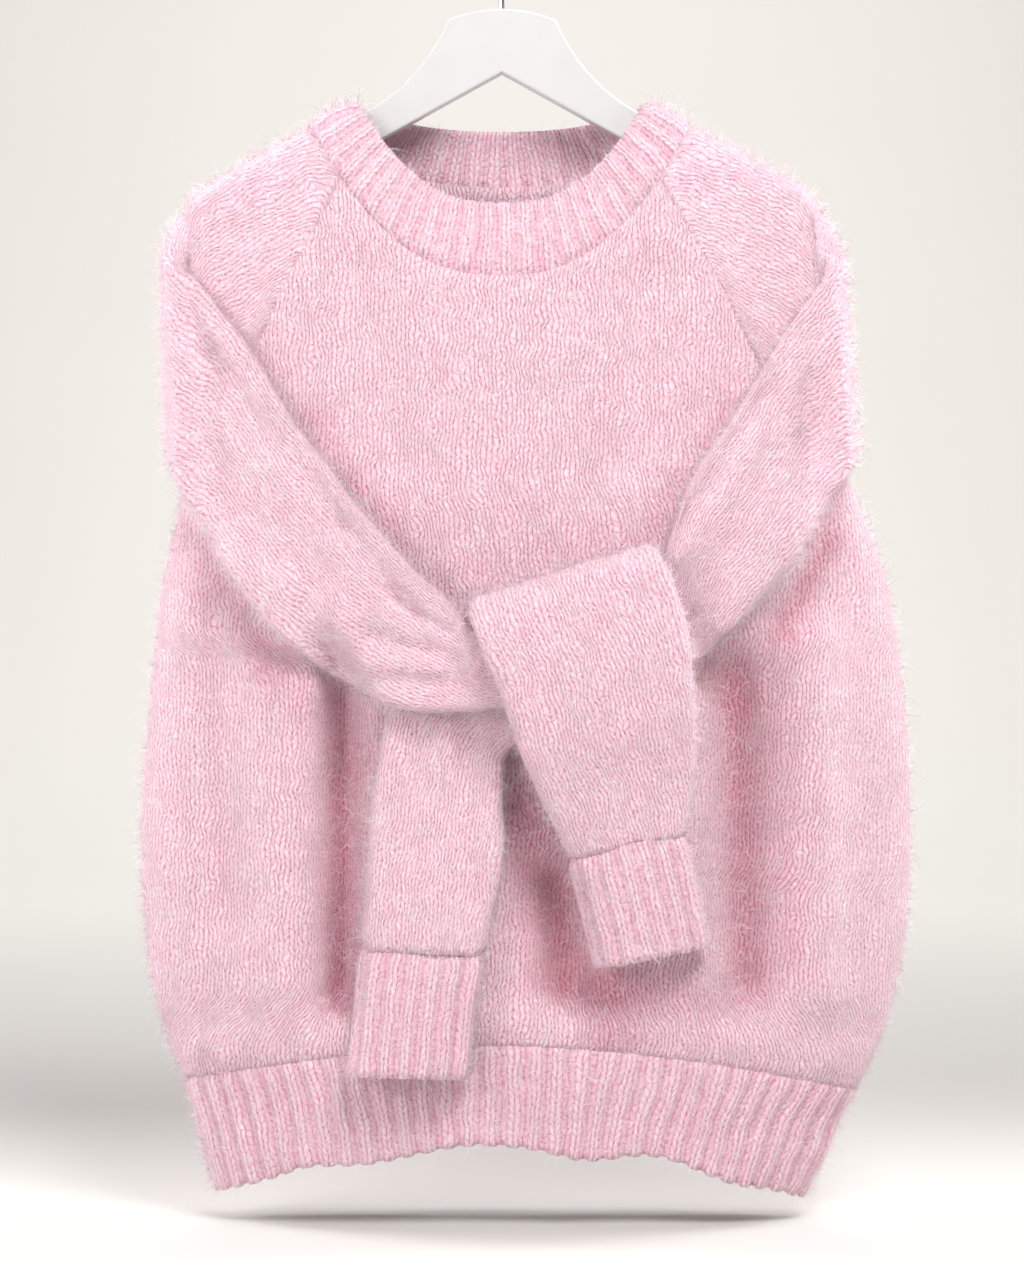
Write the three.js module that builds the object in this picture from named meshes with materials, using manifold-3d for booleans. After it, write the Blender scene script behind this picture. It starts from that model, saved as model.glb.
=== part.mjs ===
// A mohair raglan sweater hung on a flat white hanger, with its sleeves tied in a half knot in front.
// Millimetres, +Z up. The origin is the inside top of the hook. The front faces -Y, and the wearer's
// right side is at -X. Every cloth piece is a closed wall: a grid of outer points, the same grid moved
// in by the cloth's thickness, and rims that join the two. Pieces stand 0.3 mm apart at their seams.

import * as THREE from 'three';
import { mergeVertices } from 'three/addons/utils/BufferGeometryUtils.js';
import Module from 'manifold-3d';

// Driving dimensions
const CLOTH = 3.2;
const SEAM_GAP = 0.3;
const FRONT = -1;
const BACK = 1;
const ROUNDNESS = 2.3;

const RIB_HEIGHT = 1.6;
const RIBS_ACROSS_HEM = 33;
const RIBS_ROUND_NECK = 44;
const RIBS_ROUND_CUFF = 14;
const POINTS_PER_RIB = 3;

const BAR_THICK = 12.5;
const BAR_HALF_SPAN = 203;
const HOOK_WIRE = 3.6;
const HOOK_INNER_RADIUS = 21;

// The torso at each height: half-widths at either side, and half the depth from front to back.
const TORSO = [
  { z: -132, left: 84, right: 84, deep: 20 },
  { z: -136, left: 92, right: 91, deep: 21 },
  { z: -152, left: 124, right: 122, deep: 23 },
  { z: -169, left: 157, right: 156, deep: 24 },
  { z: -188, left: 192, right: 191, deep: 26 },
  { z: -206, left: 213, right: 212, deep: 28 },
  { z: -237, left: 219, right: 221, deep: 32 },
  { z: -296, left: 212, right: 215, deep: 38 },
  { z: -349, left: 203, right: 208, deep: 42 },
  { z: -390, left: 207, right: 229, deep: 45 },
  { z: -445, left: 219, right: 249, deep: 47 },
  { z: -523, left: 228, right: 261, deep: 49 },
  { z: -608, left: 234, right: 265, deep: 51 },
  { z: -673, left: 231, right: 262, deep: 53 },
  { z: -712, left: 225, right: 255, deep: 54 },
  { z: -744, left: 216, right: 245, deep: 53 },
  { z: -768, left: 205, right: 234, deep: 50 },
  { z: -792, left: 197, right: 219, deep: 47 },
  { z: -816, left: 191, right: 209, deep: 46 },
  { z: -850, left: 183, right: 193, deep: 45 },
];

// Soft folds of the torso: each runs along a line, raised where its height is above zero.
const FRONT_FOLDS = [
  { x1: 148, z1: -520, x2: 157, z2: -720, width: 15, height: -8 },
  { x1: 182, z1: -500, x2: 190, z2: -730, width: 18, height: 6 },
  { x1: 120, z1: -640, x2: 126, z2: -735, width: 13, height: 4 },
  { x1: -103, z1: -560, x2: -108, z2: -735, width: 12, height: -7 },
  { x1: -148, z1: -520, x2: -140, z2: -715, width: 22, height: 5 },
  { x1: -190, z1: -470, x2: -178, z2: -640, width: 13, height: -5 },
  { x1: 216, z1: -400, x2: 186, z2: -455, width: 10, height: -5 },
  { x1: 30, z1: -700, x2: 48, z2: -745, width: 16, height: -4 },
  { x1: 0, z1: -275, x2: 0, z2: -390, width: 34, height: 5 },
  { x1: -92, z1: -250, x2: -70, z2: -370, width: 13, height: -4 },
  { x1: 96, z1: -250, x2: 78, z2: -370, width: 13, height: -4 },
];
const BACK_FOLDS = [
  { x1: -110, z1: -300, x2: -70, z2: -690, width: 22, height: -7 },
  { x1: 60, z1: -270, x2: 118, z2: -720, width: 20, height: -8 },
  { x1: -20, z1: -420, x2: -6, z2: -735, width: 26, height: 5 },
  { x1: 172, z1: -430, x2: 160, z2: -720, width: 18, height: 5 },
  { x1: -176, z1: -420, x2: -166, z2: -640, width: 14, height: -5 },
];

// The neck: height of its seam and of its free edge, over the shoulders and at the front and back.
const NECK_SEAM = { ridge: -152, front: -251, back: -187, blunt: 2.4 };
const NECK_EDGE = { ridge: -137, front: -205, back: -152, blunt: 2.5 };

// The raglan seam: how far along its height each point is, and how far out from neck to underarm.
const RAGLAN = [
  { along: 0, out: 0 },
  { along: 0.155, out: 0.13 },
  { along: 0.3, out: 0.26 },
  { along: 0.44, out: 0.38 },
  { along: 0.58, out: 0.475 },
  { along: 0.72, out: 0.58 },
  { along: 0.87, out: 0.7 },
  { along: 0.95, out: 0.82 },
  { along: 1, out: 1 },
];
const RAGLAN_START = 0.83;
const UNDERARM = -349;

// The hem ribbing: heights of its seam and lower edge, at the middle and at either side seam.
const HEM_SEAM = { middle: -742, left: -768, right: -776, blunt: 1.7 };
const HEM_EDGE = { middle: -805, left: -839, right: -843, blunt: 1.6 };

// The sleeves are tubes through flat sections. A section runs from its upper edge (x1, z1) to its lower
// edge (x2, z2), at the depths y1 and y2 or lifted off the torso's front. half is half its thickness, and
// halfLow the same at the lower edge. turn is 180 on the shoulder, 90 on the outer fold and 0 where the
// sleeve has come back over the front. steps is the number of rings made up to the next section.
const RIGHT_SLEEVE = [
  { x1: -198, z1: -194, x2: -207, z2: -360, y1: 0, y2: 0, half: 15, halfLow: 14, turn: 180, steps: 1 },
  { x1: -208, z1: -202, x2: -209, z2: -368, y1: -4, y2: -6, half: 13, halfLow: 11, turn: 140, steps: 1 },
  { x1: -213, z1: -214, x2: -205, z2: -379, y1: -14, y2: -18, half: 9, halfLow: 8, turn: 95, steps: 1 },
  { x1: -207, z1: -227, x2: -201, z2: -391, y1: -27, y2: -29, half: 9, halfLow: 8, turn: 45, steps: 1 },
  { x1: -194, z1: -245, x2: -191, z2: -411, lift: 4, half: 8, turn: 0, steps: 2 },
  { x1: -168, z1: -288, x2: -164, z2: -455, lift: 2.5, half: 9, turn: 0, steps: 2 },
  { x1: -137, z1: -338, x2: -130, z2: -491, lift: 2, half: 9, turn: 0, steps: 2 },
  { x1: -109, z1: -376, x2: -100, z2: -511, lift: 4, half: 8.5, turn: 0, steps: 2 },
  { x1: -78, z1: -415, x2: -72, z2: -526, lift: 13, half: 7.5, turn: 0, steps: 2 },
  { x1: -55, z1: -440, x2: -46, z2: -531, lift: 19, half: 7, turn: 0, steps: 2 },
  { x1: -32, z1: -460, x2: -22, z2: -530, lift: 23, half: 6, turn: 0, steps: 2 },
  { x1: -14, z1: -479, x2: 4, z2: -526, lift: 24.5, half: 6, turn: 0, steps: 2 },
  { x1: 48, z1: -482, x2: 58, z2: -518, lift: 24.5, half: 5.5, turn: 0, steps: 1 },
];
const LEFT_SLEEVE = [
  { x1: 199, z1: -194, x2: 215.5, z2: -357, y1: 0, y2: -1, half: 15, halfLow: 14, turn: 180, steps: 1 },
  { x1: 209, z1: -205, x2: 219, z2: -363, y1: -4, y2: -9, half: 13, halfLow: 11, turn: 140, steps: 1 },
  { x1: 214, z1: -219, x2: 221, z2: -373, y1: -14, y2: -21, half: 9, halfLow: 8, turn: 95, steps: 1 },
  { x1: 209, z1: -237, x2: 217, z2: -382, y1: -27, y2: -31, half: 9, halfLow: 8, turn: 45, steps: 1 },
  { x1: 198, z1: -258, x2: 207, z2: -400, lift: 4, half: 8, turn: 0, steps: 2 },
  { x1: 177, z1: -293, x2: 185, z2: -436, lift: 2.5, half: 9, turn: 0, steps: 2 },
  { x1: 146, z1: -344, x2: 155, z2: -468, lift: 2, half: 9, turn: 0, steps: 2 },
  { x1: 117, z1: -388, x2: 133, z2: -490, lift: 6, half: 8, turn: 0, steps: 2 },
  { x1: 106, z1: -420, x2: 119, z2: -502, lift: 10, half: 6, turn: 0, steps: 1 },
  { x1: 94, z1: -450, x2: 100, z2: -512, lift: 11, half: 5.5, turn: 0, steps: 2 },
  { x1: 34, z1: -468, x2: 62, z2: -528, lift: 11, half: 5.5, turn: 0, steps: 2 },
  { x1: -26, z1: -486, x2: 26, z2: -540, lift: 10.5, half: 5.5, turn: 0, steps: 2 },
  { x1: -66, z1: -518, x2: 4, z2: -558, lift: 4, half: 6, turn: 0, steps: 2 },
  { x1: -80, z1: -571, x2: 2, z2: -583, lift: 3, half: 7.5, turn: 0, steps: 2 },
  { x1: -86, z1: -628, x2: 0, z2: -632, lift: 4, half: 8.5, turn: 0, steps: 2 },
  { x1: -89, z1: -680, x2: -12, z2: -683, lift: 5, half: 8, turn: 0, steps: 1 },
];
// The right sleeve's end goes up behind the crossing, over its top and down in front.
const RIGHT_SLEEVE_END = [
  { x1: -8, z1: -494, x2: 72, z2: -480, lift: 1.5, half: 4.2, turn: 180, steps: 1 },
  { x1: -14, z1: -476, x2: 76, z2: -452, lift: 1.5, half: 4.4, turn: 180, steps: 1 },
  { x1: -18, z1: -468, x2: 84, z2: -436, y1: -58, y2: -58, half: 5, turn: 140, steps: 1 },
  { x1: -21, z1: -465, x2: 95, z2: -429, y1: -73, y2: -73, half: 6, turn: 90, steps: 1 },
  { x1: -21, z1: -470, x2: 101, z2: -436, y1: -88, y2: -88, half: 6.5, turn: 40, steps: 1 },
  { x1: -16, z1: -482, x2: 109, z2: -452, lift: 38, half: 7, turn: 0, steps: 2 },
  { x1: -4, z1: -510, x2: 117, z2: -484, lift: 38, half: 7.5, turn: 0, steps: 2 },
  { x1: 8, z1: -545, x2: 121, z2: -528, lift: 33, half: 8, turn: 0, steps: 2 },
  { x1: 24, z1: -584, x2: 122, z2: -570, lift: 22, half: 8.5, turn: 0, steps: 2 },
  { x1: 43, z1: -622, x2: 115, z2: -607, lift: 14, half: 8, turn: 0, steps: 1 },
];
const RIGHT_CUFF = [
  { x1: 43, z1: -622, x2: 115, z2: -607, lift: 14, half: 8, turn: 0, steps: 1 },
  { x1: 50, z1: -650, x2: 122, z2: -637, lift: 11, half: 9, turn: 0, steps: 1 },
  { x1: 60, z1: -690, x2: 131, z2: -676, lift: 8, half: 9, turn: 0, steps: 1 },
];
const LEFT_CUFF = [
  { x1: -89, z1: -680, x2: -12, z2: -683, lift: 5, half: 8, turn: 0, steps: 1 },
  { x1: -92, z1: -716, x2: -18, z2: -718, lift: 5, half: 9, turn: 0, steps: 1 },
  { x1: -96, z1: -758, x2: -22, z2: -760, lift: 6.5, half: 9, turn: 0, steps: 1 },
];

// Points in half a sleeve section: along the side of the neck, and along the raglan seam
const NECK_STEPS = 3;
const RAGLAN_STEPS = 8;
const HALF_LOOP = NECK_STEPS + RAGLAN_STEPS;
const CAP_STEPS = 4;

// A smooth curve through the rows of a table, read at any value of the column named by
function smooth(rows, by, column) {
  const sorted = [...rows].sort((a, b) => a[by] - b[by]);
  const last = sorted.length - 1;
  const slope = (i) => {
    const before = sorted[Math.max(0, i - 1)];
    const after = sorted[Math.min(last, i + 1)];
    return (after[column] - before[column]) / (after[by] - before[by]);
  };
  return (value) => {
    const at = THREE.MathUtils.clamp(value, sorted[0][by], sorted[last][by]);
    let i = 0;
    while (i < last - 1 && at > sorted[i + 1][by]) i += 1;
    const span = sorted[i + 1][by] - sorted[i][by];
    const f = (at - sorted[i][by]) / span;
    const rise = sorted[i + 1][column] - sorted[i][column];
    const bend = f * (1 - f) * ((1 - f) * (slope(i) * span - rise) - f * (slope(i + 1) * span - rise));
    return sorted[i][column] + f * rise + bend;
  };
}

const leftHalf = smooth(TORSO, 'z', 'left');
const rightHalf = smooth(TORSO, 'z', 'right');
const halfDeep = smooth(TORSO, 'z', 'deep');
const raglanOut = smooth(RAGLAN, 'along', 'out');

const halfWidth = (x, z) => (x < 0 ? leftHalf(z) : rightHalf(z));

// Height of the soft folds at a point of the front or back; they die away above the hem's ribbing
const FOLDS_END = -745;
const FOLDS_FULL = -700;

function foldHeight(x, z, side) {
  if (z <= FOLDS_END) return 0;
  const folds = side === FRONT ? FRONT_FOLDS : BACK_FOLDS;
  const point = new THREE.Vector3(x, 0, z);
  let height = 0;
  for (const fold of folds) {
    const start = new THREE.Vector3(fold.x1, 0, fold.z1);
    const line = new THREE.Line3(start, new THREE.Vector3(fold.x2, 0, fold.z2));
    const nearest = line.closestPointToPoint(point, true, new THREE.Vector3());
    const away = nearest.distanceTo(point) / fold.width;
    height += fold.height * Math.exp(-away * away);
  }
  return height * THREE.MathUtils.smoothstep(z, FOLDS_END, FOLDS_FULL);
}

// Half the torso's depth at x and z, with its folds, which fade out towards the side seams
function depthAt(x, z, side) {
  const across = Math.min(1, Math.abs(x) / halfWidth(x, z));
  const plain = halfDeep(z) * (1 - across ** ROUNDNESS) ** (1 / ROUNDNESS);
  return plain + foldHeight(x, z, side) * (1 - across ** 4) ** 2;
}

const onTorso = (x, z, side) => new THREE.Vector3(x, side * depthAt(x, z, side), z);

// How far outside the torso's surface a point is, on a scale of its own, for the direction outwards
function outsideness(x, y, z) {
  const side = y < 0 ? FRONT : BACK;
  const across = Math.abs(x) / halfWidth(x, z);
  const fold = foldHeight(x, z, side) * Math.max(0, 1 - across ** 4) ** 2;
  const through = Math.max(0, Math.abs(y) - fold) / halfDeep(z);
  return across ** ROUNDNESS + through ** ROUNDNESS;
}

function outwards(point) {
  const { x, y, z } = point;
  const e = 0.05;
  const slopeX = outsideness(x + e, y, z) - outsideness(x - e, y, z);
  const slopeY = outsideness(x, y + e, z) - outsideness(x, y - e, z);
  const slopeZ = outsideness(x, y, z + e) - outsideness(x, y, z - e);
  return new THREE.Vector3(slopeX, slopeY, slopeZ).normalize();
}

// One closed wall from a grid of outer points and the matching grid of inner points
function wall(outer, inner, closed) {
  const rows = outer.length;
  const columns = outer[0].length;
  const positions = [...outer.flat(), ...inner.flat()].flatMap((p) => p.toArray());
  const at = (layer, row, column) => (layer * rows + row) * columns + (column % columns);
  const faces = [];
  const quad = (a, b, c, d) => faces.push(a, b, c, a, c, d);
  const across = closed ? columns : columns - 1;
  for (let r = 0; r < rows - 1; r += 1) {
    for (let c = 0; c < across; c += 1) {
      quad(at(0, r, c), at(0, r, c + 1), at(0, r + 1, c + 1), at(0, r + 1, c));
      quad(at(1, r, c), at(1, r + 1, c), at(1, r + 1, c + 1), at(1, r, c + 1));
    }
    if (!closed) {
      const end = columns - 1;
      quad(at(0, r, 0), at(0, r + 1, 0), at(1, r + 1, 0), at(1, r, 0));
      quad(at(0, r, end), at(1, r, end), at(1, r + 1, end), at(0, r + 1, end));
    }
  }
  for (let c = 0; c < across; c += 1) {
    const top = rows - 1;
    quad(at(0, 0, c), at(1, 0, c), at(1, 0, c + 1), at(0, 0, c + 1));
    quad(at(0, top, c), at(0, top, c + 1), at(1, top, c + 1), at(1, top, c));
  }
  const geometry = new THREE.BufferGeometry();
  geometry.setAttribute('position', new THREE.Float32BufferAttribute(positions, 3));
  geometry.setIndex(faces);
  return facingOut(geometry);
}

// The same geometry with its faces turned over where its volume comes out below zero
function facingOut(geometry) {
  const position = geometry.getAttribute('position');
  const index = geometry.getIndex();
  const corner = (i) => new THREE.Vector3().fromBufferAttribute(position, index.getX(i));
  let volume = 0;
  for (let i = 0; i < index.count; i += 3) {
    volume += corner(i).dot(corner(i + 1).cross(corner(i + 2)));
  }
  if (volume < 0) {
    geometry.setIndex([...index.array].reverse());
  }
  return geometry;
}

// A wall whose inner points lie one cloth thickness inside a grid of points on the torso
function torsoWall(grid, raised) {
  const inner = grid.map((row) => row.map((p) => p.clone().addScaledVector(outwards(p), -CLOTH)));
  const outer = grid.map((row, r) => row.map((p, c) => p.clone().addScaledVector(outwards(p), raised(r, c))));
  return wall(outer, inner, false);
}

// Rib profile: each rib is a valley followed by a flat top
const ribHeight = (column) => (column % POINTS_PER_RIB === 0 ? 0 : RIB_HEIGHT);

// The neck seam or free edge at an angle round the neck, 0 at the front and a half turn at the back
function neckPoint(line, angle) {
  const across = Math.sin(angle);
  const side = Math.cos(angle) >= 0 ? FRONT : BACK;
  const middle = side === FRONT ? line.front : line.back;
  const x = halfWidth(across, line.ridge) * across;
  const z = line.ridge + (middle - line.ridge) * (1 - Math.abs(across) ** line.blunt);
  return { x, z, side };
}

// The raglan seam from the neck (0) to the underarm (1); way is -1 at the wearer's right, 1 at the left
function raglanPoint(fraction, way, side) {
  const start = Math.asin(RAGLAN_START);
  const top = neckPoint(NECK_SEAM, side === FRONT ? way * start : way * (Math.PI - start));
  const underarm = way * halfWidth(way, UNDERARM);
  return {
    x: THREE.MathUtils.lerp(top.x, underarm, raglanOut(fraction)),
    z: THREE.MathUtils.lerp(top.z, UNDERARM, fraction),
    side,
  };
}

// How far down the raglan seam each of its points is, a little closer together towards the underarm
const raglanShare = (step) => {
  const even = step / RAGLAN_STEPS;
  return THREE.MathUtils.lerp(even, Math.sin((Math.PI / 2) * even), 0.75);
};

const hemHeight = (line, across) => {
  const end = across < 0 ? line.left : line.right;
  return line.middle + (end - line.middle) * Math.abs(across) ** line.blunt;
};


// Positions from 0 to 1 that cut a curve into stretches of equal length
function evenStops(curve, count) {
  const fine = 40 * count;
  const lengths = [0];
  let before = curve(0);
  for (let i = 1; i <= fine; i += 1) {
    const next = curve(i / fine);
    lengths.push(lengths[i - 1] + next.distanceTo(before));
    before = next;
  }
  const stops = [];
  let i = 0;
  for (let k = 0; k <= count; k += 1) {
    const wanted = (lengths[fine] * k) / count;
    while (i < fine - 1 && lengths[i + 1] < wanted) i += 1;
    stops.push((i + (wanted - lengths[i]) / (lengths[i + 1] - lengths[i])) / fine);
  }
  return stops;
}

// A point of a patch between four edges in x and z: low and high run across, left and right run up
function patchPoint(low, high, left, right, u, v) {
  const blend = (axis) => (1 - v) * low(u)[axis] + v * high(u)[axis]
    + (1 - u) * left(v)[axis] + u * right(v)[axis]
    - (1 - u) * (1 - v) * low(0)[axis] - u * (1 - v) * low(1)[axis]
    - (1 - u) * v * high(0)[axis] - u * v * high(1)[axis];
  return { x: blend('x'), z: blend('z') };
}

// Front or back panel: up the side seams, then between the raglan seams to the neck
const SIDE_BUNCHING = 0.9 * Math.PI / 2;

function bodyPanel(side, columns, sideRows) {
  const rows = sideRows + RAGLAN_STEPS;
  const sideShare = sideRows / rows;
  const seamEdge = (way) => (v) => {
    if (v > sideShare) return raglanPoint(raglanShare((1 - v) * rows), way, side);
    const z = THREE.MathUtils.lerp(hemHeight(HEM_SEAM, way), UNDERARM, v / sideShare);
    return { x: way * halfWidth(way, z), z };
  };
  const hemEdge = (u) => {
    const across = 2 * u - 1;
    const z = hemHeight(HEM_SEAM, across);
    return { x: across * halfWidth(across, z), z };
  };
  const neckEdge = (u) => {
    const angle = Math.asin(RAGLAN_START * (2 * u - 1));
    return neckPoint(NECK_SEAM, side === FRONT ? angle : Math.PI - angle);
  };
  const left = seamEdge(-1);
  const right = seamEdge(1);
  const grid = [];
  for (let r = 0; r <= rows; r += 1) {
    const row = [];
    for (let c = 0; c <= columns; c += 1) {
      const across = Math.sin(((2 * c) / columns - 1) * SIDE_BUNCHING) / Math.sin(SIDE_BUNCHING);
      const { x, z } = patchPoint(hemEdge, neckEdge, left, right, (1 + across) / 2, r / rows);
      const point = onTorso(x, z, side);
      point.y = side * Math.max(SEAM_GAP / 2, Math.abs(point.y));
      row.push(point);
    }
    grid.push(row);
  }
  return torsoWall(grid, () => 0);
}

// Front or back of the hem ribbing, from just under its seam to its lower edge
function hemPanel(side, rows) {
  const columns = RIBS_ACROSS_HEM * POINTS_PER_RIB;
  const middle = (HEM_SEAM.left + HEM_EDGE.left) / 2;
  const acrossAt = (t) => Math.sin((t - 0.5) * Math.PI);
  const section = (t) => onTorso(acrossAt(t) * halfWidth(acrossAt(t), middle), middle, side);
  const stops = evenStops(section, columns);
  const grid = [];
  for (let r = 0; r <= rows; r += 1) {
    grid.push(stops.map((stop) => {
      const across = acrossAt(stop);
      const top = hemHeight(HEM_SEAM, across) - SEAM_GAP * (1.5 + 2 * across ** 8);
      const z = THREE.MathUtils.lerp(top, hemHeight(HEM_EDGE, across), r / rows);
      const point = onTorso(across * halfWidth(across, z), z, side);
      point.y = side * Math.max(SEAM_GAP / 2, Math.abs(point.y));
      return point;
    }));
  }
  return torsoWall(grid, (r, c) => (c === columns ? 0 : ribHeight(c)));
}

// The neckband is a ring on the torso's surface, puffed out a little between its seam and its free edge.
const NECK_PUFF = 2;
const NECK_START = 0.014;

function neckband(rows) {
  const columns = RIBS_ROUND_NECK * POINTS_PER_RIB;
  const pointAt = (turn, rise) => {
    const seam = neckPoint(NECK_SEAM, turn * 2 * Math.PI);
    const edge = neckPoint(NECK_EDGE, turn * 2 * Math.PI);
    const x = THREE.MathUtils.lerp(seam.x, edge.x, rise);
    const z = THREE.MathUtils.lerp(seam.z, edge.z, rise);
    return onTorso(x, z, seam.side);
  };
  const stops = evenStops((t) => pointAt(t, 0.5), columns).slice(0, columns);
  const outer = [];
  const inner = [];
  for (let r = 0; r <= rows; r += 1) {
    const rise = THREE.MathUtils.lerp(NECK_START, 1, r / rows);
    const puff = NECK_PUFF * Math.sin(Math.PI * rise);
    const ring = stops.map((stop) => pointAt(stop, rise));
    inner.push(ring.map((p) => p.clone().addScaledVector(outwards(p), puff - CLOTH)));
    outer.push(ring.map((p, c) => p.clone().addScaledVector(outwards(p), puff + ribHeight(c))));
  }
  return wall(outer, inner, true);
}

// Round a sleeve section: first half back or outer side, from the upper edge down, then the other side up
const loopSteps = [...Array(2 * HALF_LOOP).keys()].map((i) => ({
  step: i <= HALF_LOOP ? i : 2 * HALF_LOOP - i,
  sign: i <= HALF_LOOP ? 1 : -1,
}));

// The armhole: over the shoulder along the neck seam, and down both raglan seams to the underarm
function armhole(way) {
  const start = Math.asin(RAGLAN_START);
  return loopSteps.map(({ step, sign }) => {
    const side = sign > 0 ? BACK : FRONT;
    if (step >= NECK_STEPS) {
      const raglan = raglanPoint(raglanShare(step - NECK_STEPS), way, side);
      const point = onTorso(raglan.x, raglan.z, side);
      return step === HALF_LOOP ? point.setY(0) : point;
    }
    const angle = THREE.MathUtils.lerp(Math.PI / 2, start, step / NECK_STEPS);
    const neck = neckPoint(NECK_SEAM, way * (side === FRONT ? angle : Math.PI - angle));
    const point = onTorso(neck.x, neck.z, side);
    return step === 0 ? point.setY(0) : point;
  });
}

// One flat section of a sleeve, its ends rounded by its thickness
function sectionRing(row, fold) {
  const length = Math.hypot(row.x2 - row.x1, row.z2 - row.z1);
  const turn = THREE.MathUtils.degToRad(row.turn);
  const outer = new THREE.Vector3(0, -Math.cos(turn), 0).addScaledVector(fold, Math.sin(turn));
  return loopSteps.map(({ step, sign }) => {
    const even = 1 - (2 * step) / HALF_LOOP;
    const across = THREE.MathUtils.lerp(Math.cos((Math.PI * step) / HALF_LOOP), even, 0.25);
    const down = (1 - across) / 2;
    const half = THREE.MathUtils.lerp(row.half, row.halfLow ?? row.half, down);
    const x = THREE.MathUtils.lerp(row.x1, row.x2, down);
    const z = THREE.MathUtils.lerp(row.z1, row.z2, down);
    const y = row.lift === undefined
      ? THREE.MathUtils.lerp(row.y1, row.y2, down)
      : -(depthAt(x, z, FRONT) + row.lift + half);
    const inFromEnd = Math.min(half, ((1 - Math.abs(across)) * length) / 2);
    const bulge = Math.sqrt(half * half - (half - inFromEnd) ** 2);
    return new THREE.Vector3(x, y, z).addScaledVector(outer, sign * bulge);
  });
}

// Rings on smooth curves through the stated rings, with the number of steps after each
function smoothRings(rings, steps) {
  const last = rings.length - 1;
  const curves = rings[0].map((_, i) => {
    const points = rings.map((ring) => ring[i]);
    return new THREE.CatmullRomCurve3(points, false, 'centripetal');
  });
  const result = [];
  for (let r = 0; r < last; r += 1) {
    for (let k = 0; k < steps[r]; k += 1) {
      result.push(curves.map((curve) => curve.getPoint((r + k / steps[r]) / last)));
    }
  }
  result.push(rings[last]);
  return result;
}

// Outward directions over a grid of rings, from each point's neighbours
function ringDirections(rings) {
  const count = rings[0].length;
  let balance = 0;
  const directions = rings.map((ring, r) => {
    const before = rings[Math.max(0, r - 1)];
    const after = rings[Math.min(rings.length - 1, r + 1)];
    const centre = new THREE.Vector3();
    ring.forEach((p) => centre.addScaledVector(p, 1 / count));
    return ring.map((p, i) => {
      const round = ring[(i + 1) % count].clone().sub(ring[(i + count - 1) % count]);
      const along = after[i].clone().sub(before[i]);
      const direction = round.cross(along).normalize();
      balance += direction.dot(p.clone().sub(centre));
      return direction;
    });
  });
  if (balance < 0) directions.flat().forEach((direction) => direction.negate());
  return directions;
}

// Directions laid into the plane of a flat section, so that a tube's end is square to its run
function withinSection(directions, ring) {
  const square = ring[0].clone().sub(ring[HALF_LOOP]).cross(new THREE.Vector3(0, 1, 0)).normalize();
  return directions.map((d) => d.clone().addScaledVector(square, -d.dot(square)).normalize());
}

// A tube of cloth through rings; the first ring takes the torso's own directions where it meets the torso
function sleeveTube(rings, meetsTorso) {
  const directions = ringDirections(rings);
  const last = rings.length - 1;
  directions[0] = meetsTorso ? rings[0].map((p) => outwards(p)) : withinSection(directions[0], rings[0]);
  directions[last] = withinSection(directions[last], rings[last]);
  const inner = rings.map((ring, r) => ring.map((p, i) => p.clone().addScaledVector(directions[r][i], -CLOTH)));
  return wall(rings, inner, true);
}

// A whole sleeve from the armhole: over the shoulder, folded forward and across the front. It first
// stands up from its seam, and turns over outside the body's wall at the underarm.
const SEAM_RISE = 4;
const UNDERARM_CLEAR = 4.5;

function sleeve(way, table) {
  const fold = new THREE.Vector3(way, 0, 0);
  const sleeveSide = new THREE.Vector3(way, 0, 0.6);
  const seam = armhole(way);
  const count = seam.length;
  const risen = seam.map((p, i) => {
    const along = seam[(i + 1) % count].clone().sub(seam[(i + count - 1) % count]);
    const away = outwards(p).cross(along).normalize();
    if (away.dot(sleeveSide) < 0) away.negate();
    const nearUnderarm = Math.max(0, (loopSteps[i].step - NECK_STEPS) / RAGLAN_STEPS) ** 2;
    p.addScaledVector(away, SEAM_GAP * (1 + 2 * nearUnderarm));
    const lifted = p.clone().addScaledVector(outwards(p), UNDERARM_CLEAR * nearUnderarm);
    return lifted.addScaledVector(away, SEAM_RISE);
  });
  const stated = [seam, risen, ...table.map((row) => sectionRing(row, fold))];
  const rings = smoothRings(stated, [1, CAP_STEPS, ...table.map((row) => row.steps)]);
  return sleeveTube(rings, true);
}

function sleeveEnd(table) {
  const up = new THREE.Vector3(0, 0, 1);
  const stated = table.map((row) => sectionRing(row, up));
  return sleeveTube(smoothRings(stated, table.map((row) => row.steps)), false);
}

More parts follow.
